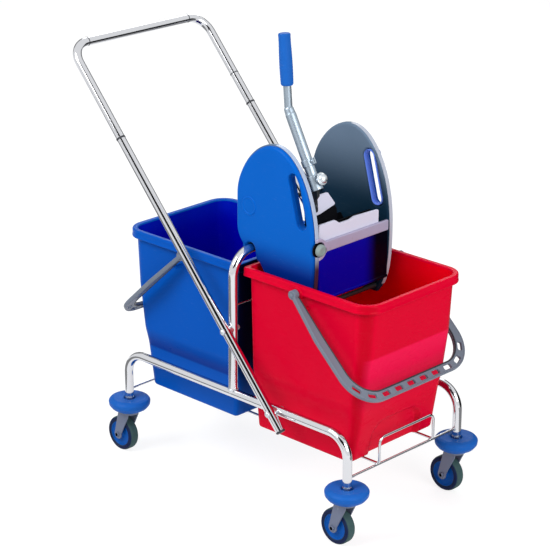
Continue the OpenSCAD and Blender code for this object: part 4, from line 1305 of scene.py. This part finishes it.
def shoulder_loop():
    """The outline of a shoulder, with the notch by which it hangs on the hoop."""
    lap_z = rim_z + 4
    heel = bezier((25, lap_z), (-5, lap_z + 14), (wringer_rear, lap_z + 35), (wringer_rear, lap_z + 75),
                  18)
    left = [p for p in heel if p.x < -NOTCH_R - NOTCH_CLEAR]
    right = [p for p in heel if p.x > NOTCH_R + NOTCH_CLEAR]
    heel = right + arc((0, hoop_z), NOTCH_R, 0, 180, 14) + left
    back = bezier((wringer_rear, hoop_z + 117), (wringer_rear, wringer_top - 72),
                  (CROWN_X - 60, wringer_top), (CROWN_X, wringer_top), 18)
    return (back[:-1] + front_curve() + toe_curve()
            + [Vector((82, wringer_low)), Vector((38, rim_z - 14))] + heel)


def stadium(width, length, centre=(0, 0), tilt=0, steps=14):
    """A slot with round ends, long along its own upright axis."""
    half = (length - width) / 2
    loop = arc((0, half), width / 2, 0, 180, steps) + arc((0, -half), width / 2, 180, 360, steps)
    turn = Matrix.Rotation(math.radians(tilt), 2)
    return [turn @ p + Vector(centre) for p in loop]


def slot_loop(grow):
    """The hand slot, made larger all round."""
    return stadium(SLOT_W + grow, SLOT_L + grow, **SLOT)


print("shoulder", round(wringer_front - wringer_rear), "mm long and",
      round(wringer_top - wringer_low), "mm high")

# %% Covers, collars, liners and trims


def shoulder_face(side, y):
    """Places a side-view plate whose thickness runs from y outwards, on one shoulder's side."""
    return Matrix.Diagonal((1, side, 1, 1)) @ plate_xz(y)


def outward(line):
    """Unit normals on the left of a line, which is the outside of a front edge drawn downwards."""
    return [Vector((-way.y, way.x)) for way in directions(line)]


COVER_INSET = 2.5
COVER_EDGE = 7.2
DISC_X = -2
DISC_UP = 95
TRIM_PROUD = 0.9
TRIM_DEEP = 1.4
trim_line = front_curve(30) + toe_curve(14)[:-3]
swell = [min(1.0, 0.3 + 0.09 * i) for i in range(len(trim_line))]
trim_outer = [p + TRIM_PROUD * s * n for p, s, n in zip(trim_line, swell, outward(trim_line))]
trim_inner = [p - TRIM_DEEP * n for p, n in zip(trim_line, outward(trim_line))]
trim_loop = trim_outer + trim_inner[::-1]
liner_t = liner_y - chamber_y
disc = soften([(0, -2), (21, -2), (21, 0.6), (19.6, DISC_RISE + 0.4), (17, DISC_RISE + 0.4),
               (15.6, 1.0), (0, 1.3)], 1.0)
for name, side in NEAR_FAR:
    cover_edge = inset(shoulder_loop(), COVER_INSET)
    cover = Shape().slab(cover_edge, cover_y - liner_y, 0.3, COVER_EDGE, [slot_loop(2)],
                         shoulder_face(side, liner_y), steps=7, hole_edge=2.4)
    cover.lathe(disc, along((DISC_X, side * (cover_y - 0.4), hoop_z + DISC_UP), (0, side, 0)), 64)
    collar = Shape().slab(slot_loop(4), liner_t + 2, 0.8, 0.4, [slot_loop(0)],
                          shoulder_face(side, chamber_y - 1.2), steps=3)
    # Painted light on the far collar; the near one shares the cover's painted shade.
    collar.piece(f"{name}_slot_collar", far_collar_painted_light if side > 0 else cover_blue, WRINGER, "cover_blue")
    cover.piece(f"{name}_shoulder_cover", cover_blue, WRINGER, "cover_blue", f"{name}_cover",
                weighted=True)

    liner = Shape().slab(shoulder_loop(), liner_t, 6.0, 1.2, [slot_loop(5)],
                         shoulder_face(side, chamber_y), steps=6)
    liner.piece(f"{name}_shoulder_liner", liner_grey, WRINGER, "liner_grey", f"{name}_liner",
                weighted=True)

    # The near trim takes the finish with painted shade.
    trim = Shape().slab(trim_loop, liner_t - 2.5, 0.7, 0.7,
                        place=shoulder_face(side, chamber_y + 3.0), steps=3)
    trim.piece(f"{name}_edge_trim", edge_grey if side > 0 else near_edge_painted_shade, WRINGER, "liner_grey",
               weighted=True)
print("shoulders made")

# %% [markdown]
# ## Front of the wringer
# A dark apron closes the front, with a rolled lip at its foot. Behind the silver bar stands a white panel
# with a dip in its upper edge. The bar ends in a hook that turns round a knob, so that it can be let go for
# washing. These are plates again, and only the lip, the knob and its washer are round. Grooves in the knob
# would take a boolean, so thin rods, half sunk in it, make its ridges.

# %% Apron and panel


def rounded(points, radius, steps=5):
    """A closed outline with all its corners rounded."""
    points = [Vector(p) for p in points]
    start = (points[-1] + points[0]) / 2
    return bent([start] + points + [start], radius, steps)[:-1]


def sheet(x0, y0, x1, y1, radius):
    """The outline of a plain rectangular plate with rounded corners."""
    return rounded([(x0, y0), (x1, y0), (x1, y1), (x0, y1)], radius)


apron_low, apron_high = box_mm("front_apron")
panel_low, panel_high = box_mm("front_panel")
knob_low, knob_high = box_mm("bar_knob")
BAR_H = 23
LIP_R = 4
APRON_T = 4
bar_z = (knob_low.z + knob_high.z) / 2
bar_foot = bar_z - BAR_H / 2
apron_x = (apron_low.x + apron_high.x) / 2
apron_foot = apron_low.z + LIP_R
apron = Shape().slab(sheet(-chamber_y, apron_foot, chamber_y, bar_foot, 2), APRON_T, 0.8, 0.8,
                     place=plate_yz(apron_x - APRON_T / 2))
apron.sweep([(apron_x, -chamber_y, apron_foot), (apron_x, chamber_y, apron_foot)], LIP_R, 20)
apron.piece("wringer_apron", apron_navy, WRINGER, "apron_navy", "front_apron", weighted=True)

panel_top = panel_high.z
dip = [(5, panel_top - 6), (-10, panel_top - 10), (-40, panel_top - 10), (-55, panel_top)]
panel_edge = rounded([(panel_low.y, panel_low.z), (panel_high.y, panel_low.z),
                      (panel_high.y, panel_top - 9)] + dip + [(panel_low.y, panel_top)], 5, 6)
panel = Shape().slab(panel_edge, panel_high.x - panel_low.x, 1.0, 1.4, place=plate_yz(panel_low.x))
panel.piece("wringer_panel", plate_white, WRINGER, "plate_white", "front_panel", weighted=True)
print("apron and panel made")

# %% Bar and knob
BAR_T = 6
KNOB_R = 13
KNOB_H = 10
STEM_R = 4.8
RIDGES = 12
HOOK_W = 7
HOOK_T = 3.5
HOOK_TURN = 112
hook_y = (knob_low.y + knob_high.y) / 2
hook_r = KNOB_R + 4
hook_end = hook_y + hook_r
knob_x = knob_high.x - KNOB_H
bar_x = box_mm("front_bar")[0].x
bar_edge = sheet(hook_end, bar_foot, chamber_y, bar_z + BAR_H / 2, 3)
bar = Shape().slab(bar_edge, BAR_T, 0.8, 1.8, place=plate_yz(bar_x))
hook_at = Vector((hook_y, bar_z))
hook_edge = arc(hook_at, hook_r + HOOK_W, -90, HOOK_TURN, 40) + arc(hook_at, hook_r, HOOK_TURN, -90, 40)
bar.slab(rounded(hook_edge, 0.6, 1), HOOK_T, 0.8, 1.2, place=plate_yz(knob_x - HOOK_T))
neck = sheet(hook_end, bar_foot, hook_end + HOOK_W, bar_z, 2)
bar.slab(neck, knob_x - bar_x, 0.6, 1.2, place=plate_yz(bar_x))
bar.piece("wringer_bar", bar_silver, WRINGER, "bar_silver", "front_bar", weighted=True)

knob_line = soften([(0, -28), (STEM_R, -28), (STEM_R, 0), (KNOB_R - 1, 0), (KNOB_R, 1), (KNOB_R, 5.6),
                    (KNOB_R - 1.4, 8.4), (KNOB_R - 4, 9.8), (6, KNOB_H), (5, 9.2), (0, 9.0)], 0.8)
knob_place = along((knob_x, hook_y, bar_z), (1, 0, 0))
knob = Shape().lathe(knob_line, knob_place, 48)
for ridge in arc(hook_at, KNOB_R - 0.5, 0, 360, RIDGES)[:-1]:
    foot = Vector((knob_x + 1.4, ridge.x, ridge.y))
    knob.sweep([foot, foot + Vector((4.8, 0, 0))], [0.7, 0.5], 8)
knob.piece("bar_turn_knob", knob_grey, WRINGER, "knob_grey", "bar_knob")
washer = ring_profile(STEM_R, hook_r - 0.6, -4.6, -2.6, 0.5)
Shape().lathe(washer, knob_place, 40, joined=True).piece(
    "bar_knob_washer", dark_washer_and_jaw_shade, WRINGER, "bracket_dark")
print("bar and knob made")

# %% [markdown]
# ## Jaws, shaft and spring
# Two drilled plates squeeze the mop; they are white like the ear, painted near black as shade. The sloping
# one is fixed, and the upright one turns on a shaft.
# A white ear on the upright jaw carries the lever. A wound spring on the shaft pushes that jaw open again,
# with one leg on the jaw and one on a tie rod. Dark dots could stand for the drain holes, but light falls
# through them, so they are real holes in the plates. The spring is a circle swept along a coil.

# %% Drilled plates
JAW_T = 5
DRAIN_R = 5
DRAIN_PITCH = 24
shaft_at = middle("hinge_shaft")
shaft_r = box_mm("hinge_shaft")[1].z - shaft_at.z
jaw_y = box_mm("moving_jaw")[1].y


def drains(first):
    """Seven columns and five rows of round drain holes."""
    return [arc((DRAIN_PITCH * i, first + DRAIN_PITCH * k), DRAIN_R, 0, 345, 23)
            for i in range(-3, 4) for k in range(5)]


slope_low = shaft_at + Vector((-20, 0, -2))
slope_high = shaft_at + Vector((-104, 0, 122))
slope = slope_high - slope_low
slope_place = Matrix.Translation(slope_low) @ Matrix.Rotation(math.atan2(slope.x, slope.z), 4, "Y")
fixed = Shape().slab(sheet(-chamber_y, 0, chamber_y, slope.length, 4), JAW_T, 1.2, 1.2, drains(26),
                     slope_place @ plate_yz(-JAW_T), steps=3)
# The fixed jaw is painted near black as shade.
fixed.piece("fixed_jaw", dark_washer_and_jaw_shade, WRINGER, "plate_white", "rear_jaw", weighted=True)
print("fixed jaw", round(slope.length), "mm long")

# %% Moving jaw and its ear
JAW_LEAN = math.radians(5)
SPRING_GAP = 24
KNUCKLE_R = shaft_r + 5
JAW_H = 152
EAR_H = 218
EAR_T = 5.4
PAD_X = 5.0
PRESS = "press"
jaw_place = Matrix.Translation(shaft_at) @ Matrix.Rotation(-JAW_LEAN, 4, "Y")
spring_notch = [(-SPRING_GAP, 0), (-SPRING_GAP, 18), (SPRING_GAP, 18), (SPRING_GAP, 0)]
jaw_ear = [(-6, JAW_H), (-6, EAR_H - 39), (-31, EAR_H - 1), (-jaw_y, EAR_H - 1)]
jaw_edge = rounded([(-jaw_y, 0)] + spring_notch + [(jaw_y, 0), (jaw_y, JAW_H)] + jaw_ear, 4)
jaw = Shape().slab(jaw_edge, JAW_T, 1.3, 1.3, drains(36), jaw_place @ plate_yz(-JAW_T / 2), steps=3)
knuckle = sleeve(shaft_r + 0.1, KNUCKLE_R, 0, jaw_y - SPRING_GAP, (1.2, 1.2), 0.8)
for side in SIDES:
    jaw.lathe(knuckle, along(shaft_at + Vector((0, side * SPRING_GAP, 0)), (0, side, 0)), 40, joined=True)
jaw.slab(sheet(-14, 18, 14, 34, 2.5), PAD_X, 0.8, 0.4, place=jaw_place @ plate_yz(-PAD_X), steps=3)
# The moving jaw is painted near black as shade, while its ear stays white.
jaw.piece("press_jaw", dark_washer_and_jaw_shade, PRESS, "plate_white", "moving_jaw", weighted=True)
ear_edge = rounded([(-jaw_y, EAR_H - 44), (-58, EAR_H - 40), (-9, EAR_H - 29), (-31, EAR_H + 1),
                    (-jaw_y, EAR_H + 1)], 4)
ear = Shape().slab(ear_edge, EAR_T, 1.2, 1.2, place=jaw_place @ plate_yz(-EAR_T / 2), steps=3)
ear.piece("press_ear", plate_white, PRESS, "plate_white", weighted=True)
print("moving jaw and its ear made")

# %% Shaft, tie rods and spring
SPRING_R = 8.5
SPRING_WIRE_R = 1.2
SPRING_PITCH = 3.3
SPRING_TURNS = 6
SPRING_LEG = 24
TURN_STEPS = 28
spring_line = []
for i in range(SPRING_TURNS * TURN_STEPS + 1):
    turns = i / TURN_STEPS
    a = math.pi + 2 * math.pi * turns
    y = SPRING_PITCH * (turns - SPRING_TURNS / 2)
    spring_line.append(shaft_at + Vector((SPRING_R * math.cos(a), y, SPRING_R * math.sin(a))))
first_leg = spring_line[0] + Vector((0, -SPRING_PITCH * 0.3, SPRING_LEG))
last_leg = spring_line[-1] + Vector((0, SPRING_PITCH * 0.3, -SPRING_LEG))
spring = Shape().sweep([first_leg] + spring_line + [last_leg], SPRING_WIRE_R, 14)
spring.piece("press_spring", zinc, WRINGER, "zinc", "return_spring")


def turned_rod(r):
    """The section of a rod from one liner's outside to the other's."""
    return sleeve(0, r, -liner_y, liner_y, (1, 1), 0.4)


Shape().lathe(turned_rod(shaft_r), along(shaft_at, (0, 1, 0)), 32).piece(
    "press_shaft", bracket_dark, WRINGER, "bracket_dark", "hinge_shaft")
tie_low, tie_high = box_mm("tie_rods")
TIE_R = 5
rods = Shape()
for x, z in ((tie_low.x + TIE_R, tie_high.z - TIE_R), (tie_high.x - TIE_R, tie_low.z + TIE_R)):
    rods.lathe(turned_rod(TIE_R), along((x, 0, z), (0, 1, 0)), 28)
rods.piece("wringer_ties", bracket_dark, WRINGER, "bracket_dark", "tie_rods")
print("shaft, tie rods and spring made")

# %% [markdown]
# ## The lever
# A zinc tube stands in a socket on the jaw's ear. It narrows at a shoulder, bends forward there and ends
# in a blue grip. A clamp collar with a tab sits above the bolt, whose domed nut faces the front. One bent
# sweep would have no step, so the tube is two turned pieces that meet at an angle in the shoulder.

# %% Lever, collar and socket
LEVER_LEAN = math.radians(28)
LEVER_BEND = math.radians(23)
LEVER_R = 11.5
LEVER_TOP_R = 8.5
LEVER_LOW = 175
LEVER_TOP = 156
GRIP_R = 14
GRIP_L = 108
SOCKET_R = LEVER_R + 2
lever_foot = shaft_at + Vector((9, -(chamber_y - 15), 247))
lever_place = Matrix.Translation(lever_foot) @ Matrix.Rotation(-LEVER_LEAN, 4, "Y")
top_place = lever_place @ Matrix.Translation((0, 0, LEVER_LOW)) @ Matrix.Rotation(LEVER_BEND, 4, "Y")

tube = soften([(0, 0.4), (LEVER_R - 2, 0.4), (LEVER_R - 0.6, 0), (LEVER_R, 0.8), (LEVER_R, LEVER_LOW - 14),
               (LEVER_R - 0.7, LEVER_LOW - 10.5), (LEVER_TOP_R + 1.8, LEVER_LOW - 2),
               (LEVER_TOP_R + 0.8, LEVER_LOW + 1.5), (0, LEVER_LOW + 2.5)], 1.5)
lever = Shape().lathe(tube, lever_place, 48)
upper = [(0, -8), (LEVER_TOP_R, -8), (LEVER_TOP_R, LEVER_TOP - 7), (0, LEVER_TOP - 7)]
lever.lathe(upper, top_place, 40)
lever.piece("lever_rod", lever_zinc, PRESS, "zinc", "lever_tube")

ring = sleeve(LEVER_R, SOCKET_R, 48, 63, (0.6, 0.8), 0.5)
collar = Shape().lathe(ring, lever_place, 40, joined=True)
tab = sheet(SOCKET_R - 1, 48.4, SOCKET_R + 7, 62.6, 2)
for y in (-4, 0.6):
    collar.slab(tab, 3.4, 0.6, 0.6, place=lever_place @ plate_xz(y), steps=3)
screw = lever_place @ along((SOCKET_R + 3.2, -4.2, 55.5), (0, -1, 0))
collar.lathe([(0, 0), (3.4, 0), (3.4, 1.4), (2.6, 2.2), (0, 2.4)], screw, 20)
collar.piece("lever_clamp", lever_zinc, PRESS, "zinc", "lever_collar", weighted=True)

socket = sleeve(LEVER_R + 0.1, SOCKET_R, -4, 28, (0.8, 1), 0.6)
Shape().lathe(socket, lever_place, 40, joined=True).piece("lever_ferrule", lever_zinc, PRESS, "zinc")
bracket = Shape()
foot_x, foot_z = lever_foot.x, lever_foot.z
web = rounded([(shaft_at.x - 16, shaft_at.z + 188), (shaft_at.x - 15, shaft_at.z + 210),
               (foot_x - 12, foot_z + 8), (foot_x + 4, foot_z + 4), (foot_x + 5, foot_z - 16)], 3)
bracket.slab(web, 8, 1.0, 1.0, place=plate_xz(lever_foot.y - 4), steps=3)
sole = sheet(lever_foot.y - 11, EAR_H - 32, lever_foot.y + 25, EAR_H - 4, 4)
bracket.slab(sole, 5, 0.3, 1.2, place=jaw_place @ plate_yz(JAW_T / 2 + 0.05), steps=3)
rivet = [(0, -0.4), (4.2, -0.4), (4.0, 1.0), (2.6, 2.1), (0, 2.6)]
for y in (lever_foot.y - 5, lever_foot.y + 19):
    bracket.lathe(rivet, jaw_place @ along((JAW_T / 2 + 5, y, EAR_H - 18), (1, 0, 0)), 24)
bracket.piece("lever_socket", bracket_dark, PRESS, "bracket_dark", "lever_bracket", weighted=True)
print("lever, collar and socket made")

# %% Bolt and grip
BOLT_UP = 15
SLEEVE = 9
NUT_R = 10.4
NUT_H = 7.4
nut_x = SOCKET_R + SLEEVE
bolt_place = lever_place @ along((0, 0, BOLT_UP), (1, 0, 0))
nut_stem = [(0, SOCKET_R - 6), (6, SOCKET_R - 6), (6, nut_x - 0.4)]
nut_washer = [(13, -0.2), (13.5, 0.4), (13.5, 1.8), (12.6, 2.2), (NUT_R + 0.6, 2.3), (NUT_R + 0.6, 4)]
nut_dome = [(NUT_R * c, 4.2 + NUT_H * s) for s, c in swing(math.pi / 2, 10)]
bolt = Shape().lathe(nut_stem + [(r, nut_x + h) for r, h in nut_washer + nut_dome], bolt_place, 40)
bolt_head = [(0, -4), (4.6, -4), (5.4, -3.2), (5.4, 1), (0, 1)]
bolt.lathe([(r, h - SOCKET_R) for r, h in bolt_head], bolt_place, 6)
bolt.piece("lever_nut", zinc, PRESS, "zinc", "lever_bolt")

GRIP_STEPS = 40
END_R = 3.4
grip_foot = LEVER_TOP - GRIP_L
grip_line = [(LEVER_TOP_R + 0.1, 1), (GRIP_R - 2.6, 0), (GRIP_R - 1.4, 1.6)]
for i in range(1, GRIP_STEPS):
    t = i / GRIP_STEPS
    girth = GRIP_R - 1.2 + 1.2 * math.sin(math.pi * min(1.0, 0.15 + t))
    grip_line.append((girth - 0.16 * (1 + math.cos(0.8 * math.pi * i)), 1.6 + t * (GRIP_L - 6)))
grip_line += [(GRIP_R - 4.5 + END_R * c, GRIP_L - END_R + END_R * s) for s, c in swing(math.pi / 2, 6)]
grip_line.append((0, GRIP_L))
grip = Shape().lathe(grip_line, top_place @ Matrix.Translation((0, 0, grip_foot)), 48)
grip.piece("lever_handgrip", trim_blue, PRESS, "trim_blue", "lever_grip")
print("bolt and grip made")

# %% [markdown]
# ## Studio
# The trolley stands on a pale floor under a big soft lamp, with weaker ones from the right and from behind.
# Small lamps would throw hard shadows, so all three are wide. The floor and the world are white to the eye
# and to reflections, and dim as sources of light, so colours keep their depth. Chrome needs something
# dark to mirror, or it looks like white paint: a few black and grey cards stand and lie round the set,
# seen by reflections alone.

# %% Floor and world
REACH = 30.0


def flat(name, corners, material):
    """One flat face of the studio, which isn't part of the trolley."""
    mesh = bpy.data.meshes.new(name)
    mesh.from_pydata(corners, [], [tuple(range(len(corners)))])
    mesh.materials.append(material)
    obj = bpy.data.objects.new(name, mesh)
    bpy.context.scene.collection.objects.link(obj)
    obj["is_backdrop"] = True
    return obj


def seen(desk):
    """1 for rays that the eye, a mirror or glass sends out."""
    kinds = ("Camera", "Glossy", "Transmission")
    eye, mirror, glass = [desk.node("ShaderNodeLightPath", out=f"Is {kind} Ray") for kind in kinds]
    return (eye + mirror + glass).clamped(0.0, 1.0)


floor_desk = Desk(bpy.data.materials.new("studio floor"))
matt = floor_desk.node("ShaderNodeBsdfDiffuse", {}, {"Color": (0.80, 0.80, 0.80, 1.0)})
shaded = floor_desk.node("ShaderNodeBsdfDiffuse", {}, {"Color": (0.30, 0.30, 0.30, 1.0)})
glow = floor_desk.node("ShaderNodeEmission", {}, {"Color": (0.80, 0.80, 0.80, 1.0), "Strength": 1.0})
lit = floor_desk.node("ShaderNodeAddShader", {}, {0: shaded, 1: glow})
floor_look = floor_desk.node("ShaderNodeMixShader", {}, {0: seen(floor_desk), 1: matt, 2: lit})
floor_desk.feed(floor_desk.tree.nodes["Material Output"].inputs["Surface"], floor_look)
flat("studio_floor", [(-REACH, -REACH, 0), (REACH, -REACH, 0), (REACH, REACH, 0), (-REACH, REACH, 0)],
     floor_desk.owner)

world = bpy.data.worlds.new("studio")
bpy.context.scene.world = world
sky = Desk(world)
white = sky.node("ShaderNodeBackground", {}, {"Color": (1, 1, 1, 1), "Strength": 1.0})
ambient = sky.node("ShaderNodeBackground", {}, {"Color": (0.96, 0.98, 1.0, 1), "Strength": 0.42})
sky_look = sky.node("ShaderNodeMixShader", {}, {0: seen(sky), 1: ambient, 2: white})
sky.feed(sky.tree.nodes["World Output"].inputs["Surface"], sky_look)
print("floor and world set")

# %% Lamps and cards


def lamp(name, spot, aim, width, height, power):
    """A soft rectangular lamp that looks at a point."""
    data = bpy.data.lights.new(name, "AREA")
    data.shape = "RECTANGLE"
    data.size = width
    data.size_y = height
    data.energy = power
    obj = bpy.data.objects.new(name, data)
    obj.location = spot
    obj.rotation_euler = (Vector(aim) - Vector(spot)).to_track_quat("-Z", "Y").to_euler()
    bpy.context.scene.collection.objects.link(obj)
    return obj


lamp("key", (-0.9, -3.2, 3.6), (0.0, 0.0, 0.45), 2.6, 2.2, 145)
lamp("fill", (3.8, -0.6, 2.2), (0.1, 0.0, 0.45), 2.2, 2.0, 96)
lamp("back", (-2.6, 3.0, 3.0), (0.0, 0.0, 0.5), 2.4, 2.0, 50)


def card_finish(name, level):
    """An even grey that needs no light."""
    desk = Desk(bpy.data.materials.new(name))
    glow = desk.node("ShaderNodeEmission", {}, {"Color": (level, level, level, 1.0), "Strength": 1.0})
    desk.feed(desk.tree.nodes["Material Output"].inputs["Surface"], glow)
    return desk.owner


card_black = card_finish("card black", 0.01)
card_grey = card_finish("card grey", 0.30)


def card(name, corners, finish):
    """A card that reflections alone can see."""
    obj = flat(name, corners, finish)
    for kind in ("camera", "diffuse", "transmission", "volume_scatter", "shadow"):
        setattr(obj, f"visible_{kind}", False)
    return obj


def bearing(azimuth):
    """A level direction and the one to its left. Azimuth 0 is the -Y side and 90 the +X side."""
    a = math.radians(azimuth)
    return Vector((math.sin(a), -math.cos(a), 0)), Vector((math.cos(a), math.sin(a), 0))


def upright_card(name, azimuth, distance, width, low, high, finish=card_black):
    """A standing card, square on to the trolley."""
    out, across = bearing(azimuth)
    left = out * distance - across * width / 2
    right = out * distance + across * width / 2
    foot = Vector((0, 0, low))
    top = Vector((0, 0, high))
    card(name, [left + foot, right + foot, right + top, left + top], finish)


def floor_card(name, azimuth, near, far, width, finish=card_black):
    """A lying card, from near to far in one direction."""
    out, across = bearing(azimuth)
    half = across * width / 2
    rise = Vector((0, 0, 0.004))
    start = out * near + rise
    stop = out * far + rise
    card(name, [start - half, start + half, stop + half, stop - half], finish)


upright_card("card_front", 33, 6.0, 6.4, 2.4, 8.0)
upright_card("card_right", 155, 1.25, 2.6, 0.0, 0.8)
upright_card("card_behind", 223, 4.5, 11.0, 0.0, 5.0, card_grey)
floor_card("card_floor_left", -44, 0.7, 3.0, 2.0, card_grey)
floor_card("card_floor_right", 152, 0.5, 1.3, 2.4, card_grey)
print("lamps and cards set")

# %% [markdown]
# ## Camera
# A camera placed by eye is never quite right. This one was fitted to the photograph: the rims, the wheels,
# the rails and the handle all have to fall where the photograph has them. It stands 4.6 m away and looks
# down by about 20 degrees.

# %% The photograph's view
AZIMUTH = math.radians(43.717)
ELEVATION = math.radians(20.485)
ROLL = math.radians(0.33)
FOCAL_PX = 2125.97
IMAGE_PX = 550
SENSOR = 36.0
aim = Vector((0.0, -0.0498, 0.4829))
distance = 4.5759
back = Vector((math.sin(AZIMUTH) * math.cos(ELEVATION), -math.cos(AZIMUTH) * math.cos(ELEVATION),
               math.sin(ELEVATION)))
right = Vector((math.cos(AZIMUTH), math.sin(AZIMUTH), 0))
up = back.cross(right)
rolled_right = math.cos(ROLL) * right + math.sin(ROLL) * up
rolled_up = math.cos(ROLL) * up - math.sin(ROLL) * right
spot = aim + distance * back
camera_data = bpy.data.cameras.new("photo camera")
camera_data.sensor_width = SENSOR
camera_data.lens = FOCAL_PX * SENSOR / IMAGE_PX
camera_data.clip_end = 100
camera = bpy.data.objects.new("photo camera", camera_data)
camera.matrix_world = Matrix((rolled_right, rolled_up, back)).transposed().to_4x4()
camera.matrix_world.translation = spot
bpy.context.scene.collection.objects.link(camera)
bpy.context.scene.camera = camera
bpy.context.scene.view_settings.view_transform = "Standard"
print("lens", round(camera_data.lens, 1), "mm at", [round(v, 3) for v in spot])

# %% [markdown]
# ## Check and finish
# The dressed trolley has to stay inside the CAD part's box, so the gap between each corner of its box and
# the CAD box's is printed, in millimetres.

# %% Boxes and finish
dressed_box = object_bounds()
over = [[round((b - a) / MM, 1) for a, b in zip(p, q)] for p, q in zip(cad_box, dressed_box)]
print("size over the CAD box, mm:", over)
